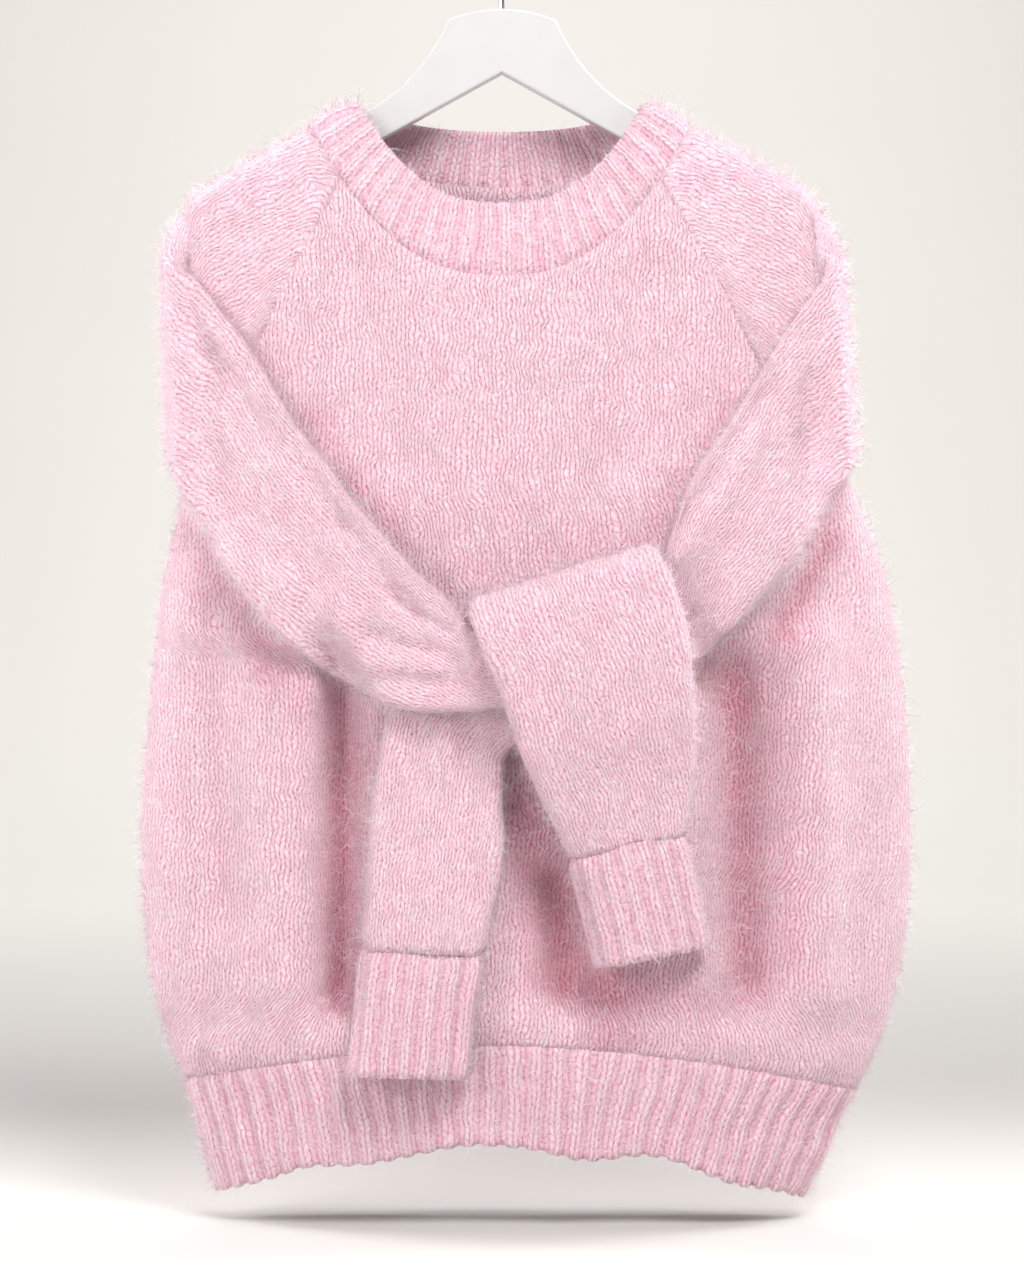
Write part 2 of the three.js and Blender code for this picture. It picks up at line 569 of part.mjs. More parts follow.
// A ribbed cuff: flat round-ended sections with their points spread evenly, from just past its seam
function cuff(table, rows) {
  const columns = RIBS_ROUND_CUFF * POINTS_PER_RIB;
  const ringAt = (row, inset, raise) => {
    const length = Math.hypot(row.x2 - row.x1, row.z2 - row.z1);
    const half = row.half - inset;
    const flat = length / 2 - row.half;
    const round = (t) => {
      const angle = t * 2 * Math.PI;
      const middle = Math.sign(Math.cos(angle)) * flat * Math.min(1, Math.abs(Math.cos(angle)) * 1.5);
      return new THREE.Vector3(middle + half * Math.cos(angle), half * Math.sin(angle), 0);
    };
    const stops = evenStops(round, columns).slice(0, columns);
    return stops.map((stop, c) => {
      const flatPoint = round(stop);
      const angle = stop * 2 * Math.PI;
      const rib = raise ? ribHeight(c) : 0;
      const across = (flatPoint.x + rib * Math.cos(angle)) / (length / 2);
      const deep = flatPoint.y + rib * Math.sin(angle);
      const down = (1 - across) / 2;
      const x = THREE.MathUtils.lerp(row.x1, row.x2, down);
      const z = THREE.MathUtils.lerp(row.z1, row.z2, down);
      const level = (row.z1 + row.z2) / 2;
      const y = -(depthAt((row.x1 + row.x2) / 2, level, FRONT) + row.lift + row.half);
      return new THREE.Vector3(x, y - deep, z);
    });
  };
  const steps = table.map(() => rows);
  const outer = smoothRings(table.map((row) => ringAt(row, 0, true)), steps);
  const inner = smoothRings(table.map((row) => ringAt(row, CLOTH, false)), steps);
  const pastSeam = (rings) => {
    rings[0] = rings[0].map((p, i) => p.clone().addScaledVector(rings[1][i].clone().sub(p).normalize(), SEAM_GAP));
  };
  pastSeam(outer);
  pastSeam(inner);
  return wall(outer, inner, true);
}

// Joins and cuts of closed meshes
const wasm = await Module();
wasm.setup();

function solid(geometry) {
  const plain = geometry.clone();
  plain.deleteAttribute('normal');
  plain.deleteAttribute('uv');
  const merged = mergeVertices(plain, 1e-4);
  const vertProperties = merged.getAttribute('position').array;
  const triVerts = new Uint32Array(merged.getIndex().array);
  return new wasm.Manifold(new wasm.Mesh({ numProp: 3, vertProperties, triVerts }));
}

function geometryOf(manifold) {
  const mesh = manifold.getMesh();
  const geometry = new THREE.BufferGeometry();
  geometry.setAttribute('position', new THREE.Float32BufferAttribute(mesh.vertProperties, 3));
  geometry.setIndex([...mesh.triVerts]);
  return geometry;
}

// Hanger bar: a flat board with a rounded crown, hollow shoulders and two straight arms
const CROWN = { half: 35, corner: -82, control: -68 };
const SHOULDER = { x: 82.5, z: -138.5, controlX: 51, controlZ: -119 };
const ARM_SLOPE = 0.55;
const ARM_TALL = 25;
const INNER_PEAK = -116.6;
const BAR_EDGE = 1.4;
const BORE_BOTTOM = -93.5;
const BORE_CLEARANCE = 0.3;

function hangerBar() {
  const tip = SHOULDER.z - ARM_SLOPE * (BAR_HALF_SPAN - SHOULDER.x);
  const tipRound = ARM_TALL / 2;
  const outline = new THREE.Shape();
  outline.moveTo(-CROWN.half, CROWN.corner);
  outline.quadraticCurveTo(0, CROWN.control, CROWN.half, CROWN.corner);
  outline.quadraticCurveTo(SHOULDER.controlX, SHOULDER.controlZ, SHOULDER.x, SHOULDER.z);
  outline.lineTo(BAR_HALF_SPAN - tipRound, tip + ARM_SLOPE * tipRound);
  outline.bezierCurveTo(BAR_HALF_SPAN, tip, BAR_HALF_SPAN, tip - ARM_TALL, BAR_HALF_SPAN - tipRound, tip - ARM_TALL + 8);
  outline.lineTo(0, INNER_PEAK);
  outline.lineTo(tipRound - BAR_HALF_SPAN, tip - ARM_TALL + 8);
  outline.bezierCurveTo(-BAR_HALF_SPAN, tip - ARM_TALL, -BAR_HALF_SPAN, tip, tipRound - BAR_HALF_SPAN, tip + ARM_SLOPE * tipRound);
  outline.lineTo(-SHOULDER.x, SHOULDER.z);
  outline.quadraticCurveTo(-SHOULDER.controlX, SHOULDER.controlZ, -CROWN.half, CROWN.corner);
  const board = new THREE.ExtrudeGeometry(outline, {
    depth: BAR_THICK - 2 * BAR_EDGE,
    bevelThickness: BAR_EDGE,
    bevelSize: BAR_EDGE,
    bevelOffset: -BAR_EDGE,
    bevelSegments: 2,
    curveSegments: 8,
  });
  board.rotateX(Math.PI / 2).translate(0, BAR_THICK / 2 - BAR_EDGE, 0);
  const boreTop = CROWN.control + BAR_EDGE;
  const boreRadius = HOOK_WIRE / 2 + BORE_CLEARANCE;
  const bore = new THREE.CylinderGeometry(boreRadius, boreRadius, boreTop - BORE_BOTTOM, 16);
  bore.rotateX(Math.PI / 2).translate(0, 0, (boreTop + BORE_BOTTOM) / 2);
  return geometryOf(solid(board).subtract(solid(bore)));
}

// Hanger hook: a straight stem in the bar's bore, then a bend into the round of the hook
function hangerHook() {
  const radius = HOOK_INNER_RADIUS + HOOK_WIRE / 2;
  const centre = -HOOK_INNER_RADIUS;
  const route = [
    new THREE.Vector3(0, 0, BORE_BOTTOM + BORE_CLEARANCE),
    new THREE.Vector3(0, 0, -78),
    new THREE.Vector3(0, 0, -62),
    new THREE.Vector3(4.5, 0, -50),
  ];
  for (let degrees = -50; degrees <= 200; degrees += 25) {
    const angle = THREE.MathUtils.degToRad(degrees);
    route.push(new THREE.Vector3(radius * Math.cos(angle), 0, centre + radius * Math.sin(angle)));
  }
  const section = new THREE.Shape();
  section.absarc(0, 0, HOOK_WIRE / 2, 0, 2 * Math.PI);
  return new THREE.ExtrudeGeometry(section, {
    extrudePath: new THREE.CatmullRomCurve3(route),
    steps: 40,
    curveSegments: 4,
  });
}

const MOHAIR = { color: 0xecc0d0, roughness: 0.95, metalness: 0 };
const LACQUER = { color: 0xf6f6f5, roughness: 0.35, metalness: 0 };
const STEEL = { color: 0xc9ccd0, roughness: 0.25, metalness: 1 };

function piece(name, geometry, look) {
  const mesh = new THREE.Mesh(geometry, new THREE.MeshStandardMaterial(look));
  mesh.name = name;
  return mesh;
}

const sweater = new THREE.Group();
sweater.add(
  piece('body_front', bodyPanel(FRONT, 24, 12), MOHAIR),
  piece('body_back', bodyPanel(BACK, 22, 9), MOHAIR),
  piece('hem_front', hemPanel(FRONT, 2), MOHAIR),
  piece('hem_back', hemPanel(BACK, 2), MOHAIR),
  piece('neckband', neckband(3), MOHAIR),
  piece('sleeve_right', sleeve(-1, RIGHT_SLEEVE), MOHAIR),
  piece('sleeve_right_end', sleeveEnd(RIGHT_SLEEVE_END), MOHAIR),
  piece('cuff_right', cuff(RIGHT_CUFF, 1), MOHAIR),
  piece('sleeve_left', sleeve(1, LEFT_SLEEVE), MOHAIR),
  piece('cuff_left', cuff(LEFT_CUFF, 1), MOHAIR),
  piece('hanger_bar', hangerBar(), LACQUER),
  piece('hanger_hook', hangerHook(), STEEL),
);

export default sweater;
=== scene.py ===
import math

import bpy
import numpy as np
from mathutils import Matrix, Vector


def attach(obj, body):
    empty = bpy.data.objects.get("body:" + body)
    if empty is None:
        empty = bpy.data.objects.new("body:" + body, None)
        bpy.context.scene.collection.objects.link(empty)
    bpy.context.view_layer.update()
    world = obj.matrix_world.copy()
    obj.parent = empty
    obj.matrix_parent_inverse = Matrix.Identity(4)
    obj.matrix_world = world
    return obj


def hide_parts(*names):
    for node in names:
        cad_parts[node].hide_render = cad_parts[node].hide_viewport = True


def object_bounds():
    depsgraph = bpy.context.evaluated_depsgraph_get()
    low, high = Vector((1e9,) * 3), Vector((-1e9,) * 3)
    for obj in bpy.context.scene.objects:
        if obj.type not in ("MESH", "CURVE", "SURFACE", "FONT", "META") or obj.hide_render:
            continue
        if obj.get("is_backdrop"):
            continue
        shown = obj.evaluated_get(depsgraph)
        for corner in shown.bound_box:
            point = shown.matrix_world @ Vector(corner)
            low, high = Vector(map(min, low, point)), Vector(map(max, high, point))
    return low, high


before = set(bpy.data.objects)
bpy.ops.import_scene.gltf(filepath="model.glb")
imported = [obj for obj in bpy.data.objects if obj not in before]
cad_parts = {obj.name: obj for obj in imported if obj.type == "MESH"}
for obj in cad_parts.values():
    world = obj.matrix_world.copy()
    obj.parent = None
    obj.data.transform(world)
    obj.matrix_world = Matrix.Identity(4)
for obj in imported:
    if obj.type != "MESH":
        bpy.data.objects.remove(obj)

# %% [markdown]
# # A mohair sweater on a hanger, with its sleeves tied in front
# The garment is knitted in pieces: two body panels, two ribbed hems, two sleeves with their ribbed cuffs,
# and a ribbed neckband. Each piece is made here as one closed wall of cloth about 3 mm thick. It hangs on
# a flat lacquered hanger, whose hook carries everything, so all of it rides on one body, "root".
# A draped garment can be simulated or built by hand. The tied sleeves have to sit just so, and a solver
# would let the half knot slip, so every fold is given in a table and the walls are worked out with numpy.

cad_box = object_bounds()
print("object's box", [tuple(round(v, 4) for v in corner) for corner in cad_box])

MM = 0.001
FRONT, BACK = -1, 1
CLOTH = 3.0
chance = np.random.default_rng(815)

# %% [markdown]
# ## The shape that the cloth hangs on
# The body of the sweater is described by its outline at each height: how far it reaches to either side and
# how deep it is. A smooth curve runs through each column of that table, and every horizontal cut is a
# rounded oval. All pieces of the body, and the sleeves that lie on it, are placed from this one form, so
# neighbouring pieces meet at their seams without any fitting.

# %% Outline of the body, in millimetres
HEIGHTS = [-132, -136, -152, -169, -188, -206, -237, -296, -349, -390,
           -445, -523, -608, -673, -712, -744, -768, -792, -816, -850]
REACH_RIGHT = [84, 92, 124, 157, 192, 213, 219, 212, 203, 207,
               219, 228, 234, 231, 225, 216, 205, 197, 191, 183]
REACH_LEFT = [84, 91, 122, 156, 191, 212, 221, 215, 208, 229,
              249, 261, 265, 262, 255, 245, 234, 219, 209, 193]
DEEP = [20, 21, 23, 24, 26, 28, 32, 38, 42, 45,
        47, 49, 51, 53, 54, 53, 50, 47, 46, 45]
ROUNDNESS = 2.3


def smooth(keys, values):
    """A smooth curve through values at keys, as a function."""
    order = np.argsort(keys)
    keys, values = np.array(keys, float)[order], np.array(values, float)[order]
    last = len(keys) - 1
    before, after = np.maximum(np.arange(last + 1) - 1, 0), np.minimum(np.arange(last + 1) + 1, last)
    slope = (values[after] - values[before]) / (keys[after] - keys[before])

    def read(at):
        at = np.clip(at, keys[0], keys[-1])
        i = np.clip(np.searchsorted(keys, at) - 1, 0, last - 1)
        span, rise = keys[i + 1] - keys[i], values[i + 1] - values[i]
        f = (at - keys[i]) / span
        bend = f * (1 - f) * ((1 - f) * (slope[i] * span - rise) - f * (slope[i + 1] * span - rise))
        return values[i] + f * rise + bend

    return read


reach_right, reach_left = smooth(HEIGHTS, REACH_RIGHT), smooth(HEIGHTS, REACH_LEFT)
half_deep = smooth(HEIGHTS, DEEP)


def half_width(x, z):
    return np.where(x < 0, reach_right(z), reach_left(z))


def step_up(value, low, high):
    t = np.clip((value - low) / (high - low), 0, 1)
    return t * t * (3 - 2 * t)


# %% [markdown]
# ## Folds, given one by one
# Heavy knitwear folds softly: a trough where the cloth hangs free from the underarm, fullness above the
# tight hem ribbing, slack beside the tied sleeves. Each fold is a short line on the front or back with a
# width and a height, and a soft bell-shaped section. They differ in length, depth and spacing, because
# evenly spaced folds look like curtains. Columns: x1, z1, x2, z2, width, height.

# %% Tables of folds
FRONT_FOLDS = [
    (150, -510, 158, -725, 19, -20), (206, -490, 208, -735, 22, 28), (112, -600, 124, -738, 15, 7),
    (-102, -505, -104, -738, 14, -28), (-150, -520, -142, -725, 22, 9), (-192, -460, -178, -660, 15, -11),
    (218, -395, 184, -470, 12, -14), (34, -640, 46, -746, 17, -18), (84, -610, 90, -735, 16, 5),
    (0, -275, 0, -390, 34, 5), (-92, -250, -70, -370, 15, -6), (96, -250, 78, -370, 15, -6),
    (-212, -560, -204, -700, 12, 5), (228, -560, 222, -690, 13, -5), (-34, -690, -28, -745, 12, 4),
]
BACK_FOLDS = [
    (-110, -300, -70, -700, 22, -11), (60, -270, 118, -730, 20, -12), (-20, -420, -6, -735, 26, 7),
    (172, -430, 160, -725, 18, 8), (-176, -420, -166, -660, 15, -9), (-128, -430, -112, -730, 15, 6),
    (214, -480, 206, -690, 14, -6), (34, -520, 44, -700, 14, 4),
]
# Painted shadows and shade on the front panel, a deeper pink where the sleeves, knot and cuffs shade it.
# The last column says how much.
FRONT_PAINTED_SHADOWS = [
    (-98, -560, -100, -715, 12, 1.0), (14, -590, 30, -700, 15, 0.7), (48, -600, 70, -735, 22, 0.6),
    (-150, -505, -84, -560, 15, 0.3), (152, -510, 158, -700, 20, 0.4), (120, -500, 150, -520, 12, 0.5),
    (180, -480, 184, -690, 13, 0.3), (150, -335, 60, -470, 9, 0.35), (-122, -340, -60, -425, 8, 0.3),
    (-205, -420, -150, -500, 10, 0.35), (214, -420, 180, -480, 10, 0.5), (40, -700, 130, -715, 14, 0.4),
]
FOLDS_END, FOLDS_FULL = -745, -700


def bell(distance):
    """1 at no distance, and softly down to 0 beyond about 2."""
    return np.exp(-distance * distance)


def fold_height(x, z, folds):
    total = np.zeros(np.broadcast(x, z).shape)
    for x1, z1, x2, z2, width, height in folds:
        along = ((x - x1) * (x2 - x1) + (z - z1) * (z2 - z1)) / ((x2 - x1) ** 2 + (z2 - z1) ** 2)
        along = np.clip(along, 0, 1)
        away = np.hypot(x - x1 - along * (x2 - x1), z - z1 - along * (z2 - z1)) / width
        total += height * bell(away)
    return total


def body_folds(x, z, side):
    height = np.where(side == FRONT, fold_height(x, z, FRONT_FOLDS), fold_height(x, z, BACK_FOLDS))
    return height * step_up(z, FOLDS_END, FOLDS_FULL)


def depth_at(x, z, side):
    across = np.minimum(1, np.abs(x) / half_width(x, z))
    plain = half_deep(z) * (1 - across ** ROUNDNESS) ** (1 / ROUNDNESS)
    return plain + body_folds(x, z, side) * (1 - across ** 4) ** 2


def on_body(x, z, side):
    return np.stack([x, side * depth_at(x, z, side), z + 0 * x], axis=-1)


def outsideness(x, y, z):
    across = np.abs(x) / half_width(x, z)
    fold = np.where(y < 0, body_folds(x, z, FRONT), body_folds(x, z, BACK))
    fold = fold * np.maximum(0, 1 - across ** 4) ** 2
    through = np.maximum(0, np.abs(y) - fold) / half_deep(z)
    return across ** ROUNDNESS + through ** ROUNDNESS


def unit(vectors):
    return vectors / np.maximum(np.linalg.norm(vectors, axis=-1, keepdims=True), 1e-9)


def outwards(points):
    x, y, z = points[..., 0], points[..., 1], points[..., 2]
    e = 0.05
    return unit(np.stack([
        outsideness(x + e, y, z) - outsideness(x - e, y, z),
        outsideness(x, y + e, z) - outsideness(x, y - e, z),
        outsideness(x, y, z + e) - outsideness(x, y, z - e),
    ], axis=-1))


# %% Small unevenness that all hand-knitted cloth has
RUMPLES = [(chance.uniform(18, 70), chance.uniform(0, 2 * math.pi), chance.uniform(0, 2 * math.pi),
            chance.uniform(0.5, 1.0)) for _ in range(14)]


def rumple(points, amount):
    total = 0
    for length, heading, phase, weight in RUMPLES:
        run = points[..., 0] * math.cos(heading) + points[..., 2] * math.sin(heading)
        total = total + weight * np.sin(2 * math.pi * run / length + phase + points[..., 1] / 25)
    return amount * total / 4


# %% [markdown]
# ## One way to make every piece of cloth
# A grid of outer points and a matching grid of inner points, joined along their rims, give a closed wall
# with a real thickness. The same function lays out the UV map in stitches: a whole number in U is the
# edge between two columns of stitches, and a whole number in V is the edge between two rows. A material
# that reads that map follows the knitting round every bend.

# %% Building a closed wall of cloth
WALE = 5.85
COURSE = 4.6


class Cloth:
    """A finished wall of cloth and the grids it was made from."""

    def __init__(self, piece, outer, inner, closed):
        self.piece, self.outer, self.inner, self.closed = piece, outer, inner, closed


def grid_normals(grid, closed):
    along = np.gradient(grid, axis=0)
    if closed:
        across = (np.roll(grid, -1, axis=1) - np.roll(grid, 1, axis=1)) / 2
    else:
        across = np.gradient(grid, axis=1)
    return unit(np.cross(across, along))


def arc_lengths(grid, axis):
    steps = np.linalg.norm(np.diff(grid, axis=axis), axis=-1)
    zero = np.zeros_like(np.take(steps, [0], axis=axis))
    return np.cumsum(np.concatenate([zero, steps], axis=axis), axis=axis)


def wrapped(grid):
    """A closed grid with its first column again after the last."""
    return np.concatenate([grid, grid[:, :1]], 1)


def new_mesh(name, points, faces):
    """A mesh of faces that all have the same number of corners, one row of the array for each."""
    mesh = bpy.data.meshes.new(name)
    mesh.vertices.add(len(points))
    mesh.vertices.foreach_set("co", points.astype(np.float32).ravel())
    mesh.loops.add(faces.size)
    mesh.loops.foreach_set("vertex_index", faces.astype(np.int32).ravel())
    mesh.polygons.add(len(faces))
    mesh.polygons.foreach_set("loop_start", np.arange(0, faces.size, faces.shape[1], dtype=np.int32))
    return mesh


def new_piece(mesh):
    piece = bpy.data.objects.new(mesh.name, mesh)
    bpy.context.scene.collection.objects.link(piece)
    return piece


def make_wall(name, outer, inner, closed, stitches, painted_shade_values=None):
    """A closed wall. stitches gives U and V at each outer point; a closed grid's has one column more."""
    rows, columns = outer.shape[:2]
    points = np.concatenate([outer.reshape(-1, 3), inner.reshape(-1, 3)]) * MM
    spans = columns if closed else columns - 1
    r, c = (a.ravel() for a in np.meshgrid(np.arange(rows - 1), np.arange(spans), indexing="ij"))

    def at(layer, row, column):
        return (layer * rows + row) * columns + column % columns

    faces, maps = [], []

    def add(corners, flip=False):
        """Faces from four (layer, row, column) corners, and the same corners on the stitch map."""
        order = corners[::-1] if flip else corners
        face = [at(*corner) + 0 * (r + c) for corner in order]
        faces.append(np.stack(face, 1))
        maps.append(np.stack([stitches[row + 0 * c, column + 0 * r] for _, row, column in order], 1))

    add([(0, r, c), (0, r, c + 1), (0, r + 1, c + 1), (0, r + 1, c)])
    add([(1, r, c), (1, r + 1, c), (1, r + 1, c + 1), (1, r, c + 1)])
    r, c = 0, np.arange(spans)
    for row, flip in ((0, False), (rows - 1, True)):
        add([(0, row, c), (1, row, c), (1, row, c + 1), (0, row, c + 1)], flip)
    if not closed:
        r, c = np.arange(rows - 1), 0
        for column, flip in ((0, False), (columns - 1, True)):
            add([(0, r, column), (0, r + 1, column), (1, r + 1, column), (1, r, column)], flip)
    faces, maps = np.concatenate(faces), np.concatenate(maps)
    a, b, d = points[faces[:, 0]], points[faces[:, 1]], points[faces[:, 3]]
    if np.einsum("ij,ij->", a, np.cross(b, d)) < 0:
        faces, maps = faces[:, ::-1], maps[:, ::-1]
    mesh = new_mesh(name, points, faces)
    mesh.update(calc_edges=True)
    layer = mesh.uv_layers.new(name="stitches")
    layer.data.foreach_set("uv", maps.astype(np.float32).ravel())
    # Painted shade: a value at each outer point that the finish multiplies towards a deeper pink; inner
    # points get none.
    if painted_shade_values is not None:
        values = np.concatenate([painted_shade_values.ravel(), 0 * painted_shade_values.ravel()]).astype(np.float32)
        mesh.attributes.new("painted_shade", "FLOAT", "POINT").data.foreach_set("value", values)
    mesh.shade_smooth()
    mesh.validate()
    area = sum(face.area for face in mesh.polygons) / 2
    print(f"{name}: {len(faces) * 2} triangles, {area:.3f} square metres of cloth")
    return Cloth(new_piece(mesh), outer, inner, closed)


# %% [markdown]
# ## Where the seams run
# A raglan sweater has no shoulder seam: the sleeve goes on up to the neck, and a slanting seam joins it
# to the body from neckband to underarm. The neck seam dips lower in front than behind. These lines are the
# edges of the panels, so they are settled before any panel is made.

# %% Neck, raglan and hem lines
NECK_SEAM = dict(ridge=-152, front=-251, back=-187, blunt=2.4)
NECK_EDGE = dict(ridge=-137, front=-205, back=-152, blunt=2.5)
HEM_SEAM = dict(middle=-742, left=-768, right=-776, blunt=1.7)
HEM_EDGE = dict(middle=-805, left=-839, right=-843, blunt=1.6)
RAGLAN_START = 0.83
UNDERARM = -349
raglan_out = smooth([0, 0.155, 0.3, 0.44, 0.58, 0.72, 0.87, 0.95, 1],
                    [0, 0.13, 0.26, 0.38, 0.475, 0.58, 0.7, 0.82, 1])


def neck_point(line, angle):
    across = np.sin(angle)
    front = np.cos(angle) >= 0
    middle = np.where(front, line["front"], line["back"])
    z = line["ridge"] + (middle - line["ridge"]) * (1 - np.abs(across) ** line["blunt"])
    return half_width(across, line["ridge"]) * across, z, np.where(front, FRONT, BACK)


def raglan_point(fraction, way, side):
    start = math.asin(RAGLAN_START)
    top_x, top_z, _ = neck_point(NECK_SEAM, way * (start if side == FRONT else math.pi - start))
    x = top_x + (way * half_width(way, UNDERARM) - top_x) * raglan_out(fraction)
    return x, top_z + (UNDERARM - top_z) * fraction


def raglan_share(even):
    return even + 0.75 * (np.sin(np.pi / 2 * even) - even)


def hem_height(line, across):
    end = np.where(across < 0, line["left"], line["right"])
    return line["middle"] + (end - line["middle"]) * np.abs(across) ** line["blunt"]


# %% [markdown]
# ## Front and back panels
# Each panel is a patch between four edges: the hem, two side edges that turn into the raglan seams, and
# the neck. Blending the edges (a Coons patch) spreads the grid over it with no poles. Just above the hem
# the cloth is let out a little, because the ribbing draws it in, and along the raglan and neck seams it
# rises beside a narrow groove, as sewn knitted edges do. Each point also gets a value of painted shade,
# from how deep it lies in a fold and, on the front, from the painted shadows of the sleeves and cuffs,
# which the finish reads.

# %% Body panels
SIDE_BUNCHING = 0.9 * math.pi / 2
SEAM_GAP = 0.3
FULLNESS, FULLNESS_ABOVE, FULLNESS_WIDTH = 4.4, 17, 14
# Painted shade in the troughs of folds: the depth where it starts, the depth over which it grows, and its
# most.
FOLD_SHADE_FROM, FOLD_SHADE_SPAN, FOLD_SHADE_MOST = 6, 30, 0.5


def panel_surface(x, z, side):
    """Points on the body, with the front and back panels a little apart where they meet."""
    surface = on_body(x, z, side)
    surface[..., 1] = side * np.maximum(SEAM_GAP / 2, np.abs(surface[..., 1]))
    return surface


def patch_point(low, high, left, right, u, v):
    axes = []
    for axis in (0, 1):
        l, h, a, b = low(u)[axis], high(u)[axis], left(v)[axis], right(v)[axis]
        corners = ((1 - u) * (1 - v) * low(0.0)[axis] + u * (1 - v) * low(1.0)[axis]
                   + (1 - u) * v * high(0.0)[axis] + u * v * high(1.0)[axis])
        axes.append((1 - v) * l + v * h + (1 - u) * a + u * b - corners)
    return axes


def seam_lift(distance):
    """A shallow groove at a seam, and beside it two fine ridges, the columns of stitches next to it."""
    groove, ridge, next_ridge = distance / 1.1, (distance - 2.6) / 1.2, (distance - 6.4) / 1.6
    return -0.3 * bell(groove) + 0.9 * bell(ridge) + 0.8 * bell(next_ridge)


def body_panel(name, side, columns, side_rows, raglan_rows):
    rows = side_rows + raglan_rows
    share = side_rows / rows

    def edge(way):
        def at(v):
            v = np.asarray(v, float)
            fraction = raglan_share(np.clip((1 - v) * rows / raglan_rows, 0, 1))
            raglan_x, raglan_z = raglan_point(fraction, way, side)
            corner = hem_height(HEM_SEAM, way)
            low_z = corner + (UNDERARM - corner) * np.clip(v / share, 0, 1)
            up = v > share
            return np.where(up, raglan_x, way * half_width(way, low_z)), np.where(up, raglan_z, low_z)
        return at

    def hem(u):
        across = 2 * np.asarray(u, float) - 1
        z = hem_height(HEM_SEAM, across)
        return across * half_width(across, z), z

    def neck(u):
        angle = np.arcsin(RAGLAN_START * (2 * np.asarray(u, float) - 1))
        return neck_point(NECK_SEAM, angle if side == FRONT else np.pi - angle)[:2]

    spread = np.sin(np.linspace(-1, 1, columns + 1) * SIDE_BUNCHING) / math.sin(SIDE_BUNCHING)
    v, u = np.meshgrid(np.linspace(0, 1, rows + 1), (1 + spread) / 2, indexing="ij")
    x, z = patch_point(hem, neck, edge(-1), edge(1), u, v)
    surface = panel_surface(x, z, side)
    away = outwards(surface)
    above_hem = z - hem_height(HEM_SEAM, np.clip(x / half_width(x, z), -1, 1))
    fullness = FULLNESS * bell((above_hem - FULLNESS_ABOVE) / FULLNESS_WIDTH) - 0.8 * bell(above_hem / 5)
    raglans = np.minimum(np.linalg.norm(surface - surface[:, :1], axis=-1),
                         np.linalg.norm(surface - surface[:, -1:], axis=-1))
    raglans = np.where(v > share, raglans, 99)
    neckline = np.linalg.norm(surface - surface[-1:], axis=-1)
    lift = fullness + seam_lift(np.minimum(raglans, neckline)) + rumple(surface, 0.9)
    edge_fade = np.minimum(1, np.minimum(u, 1 - u) * 14)
    lift = lift * edge_fade
    outer = surface + away * lift[..., None]
    inner = surface + away * (np.minimum(lift, lift * 0.8) - CLOTH)[..., None]
    centre = columns // 2
    across = arc_lengths(surface[..., :2], 1)
    across = (across - across[:, centre:centre + 1]) / WALE
    stitches = np.stack([across, z / COURSE], -1)
    # Painted shade, deeper in the troughs of folds; on the front also painted shadows of the sleeves, knot
    # and cuffs.
    painted_shade_values = np.clip((-body_folds(x, z, side) - FOLD_SHADE_FROM) / FOLD_SHADE_SPAN, 0, FOLD_SHADE_MOST)
    if side == FRONT:
        painted_shade_values = np.clip(painted_shade_values + fold_height(x, z, FRONT_PAINTED_SHADOWS), 0, 1)
    return make_wall(name, outer, inner, False, stitches, painted_shade_values)


body_front = body_panel("body_front_knit", FRONT, 150, 110, 50)
body_back = body_panel("body_back_knit", BACK, 110, 80, 38)

# %% [markdown]
# ## Ribbing
# The hem, cuffs and neckband are knitted in one-and-one rib: a column of stitches that stands out, then
# one that sinks back. That is real relief, about 2 mm, so it is modelled and not painted: the wall's outer
# points rise and fall with a rounded profile. From inside, rib looks the same, half a rib along. The first
# row of each rib tucks under the plain knitting, as a picked-up edge does, so no gap shows at the seam.

# %% Rib profile and hem
RIB_HEIGHT = 2.3
INNER_RIB = 1.2
TUCK = 2.5
RIM_SHARE, RIM_ROUND = 0.55, 1.1
RIBS_ACROSS_HEM, RIBS_ROUND_NECK, RIBS_ROUND_CUFF = 33, 44, 14
POINTS_PER_RIB = 10


def rib_profile(ribs):
    """0 in the sunk column and 1 on the raised one, for a place counted in ribs."""
    wave = 0.74 + 0.92 * np.cos(2 * np.pi * (ribs - 0.25))
    return step_up(wave, 0.0, 1.0)


def even_stops(curve, count):
    """Positions from 0 to 1 that cut a curve into stretches of equal length."""
    fine = np.linspace(0, 1, 40 * count + 1)
    lengths = arc_lengths(curve(fine), 0)
    return np.interp(np.linspace(0, lengths[-1], count + 1), lengths, fine)


def round_rim(outer, inner, row, inwards):
    """Draws a wall's end row together, so that its rim is rounded."""
    middle = (outer[row] + inner[row]) / 2
    run = unit(outer[row] - outer[inwards]) * RIM_ROUND
    outer[row] = middle + (outer[row] - middle) * RIM_SHARE + run
    inner[row] = middle + (inner[row] - middle) * RIM_SHARE + run


def uneven_ribs(ribs, count, rise, amount):
    """Ribs are never ruled lines: their places sway a little along their length."""
    turn = 2 * np.pi * ribs / count
    return ribs + amount * (np.sin(11 * turn + rise * 2.4) + np.sin(4 * turn - rise * 4.1 + 1.0)) / 2


# A ribbed edge hangs in shallow waves: place across the hem (-1 to 1), width, height in mm.
HEM_SCALLOP = 1.3
HEM_WAVES = [(across, 0, across + 0.001, 0, width, height) for across, width, height in (
    (0.24, 0.12, -5.0), (0.47, 0.12, 4.5), (-0.12, 0.1, 1.5), (-0.42, 0.13, -2.5), (-0.66, 0.1, 3.0),
    (0.74, 0.1, -2.5))]


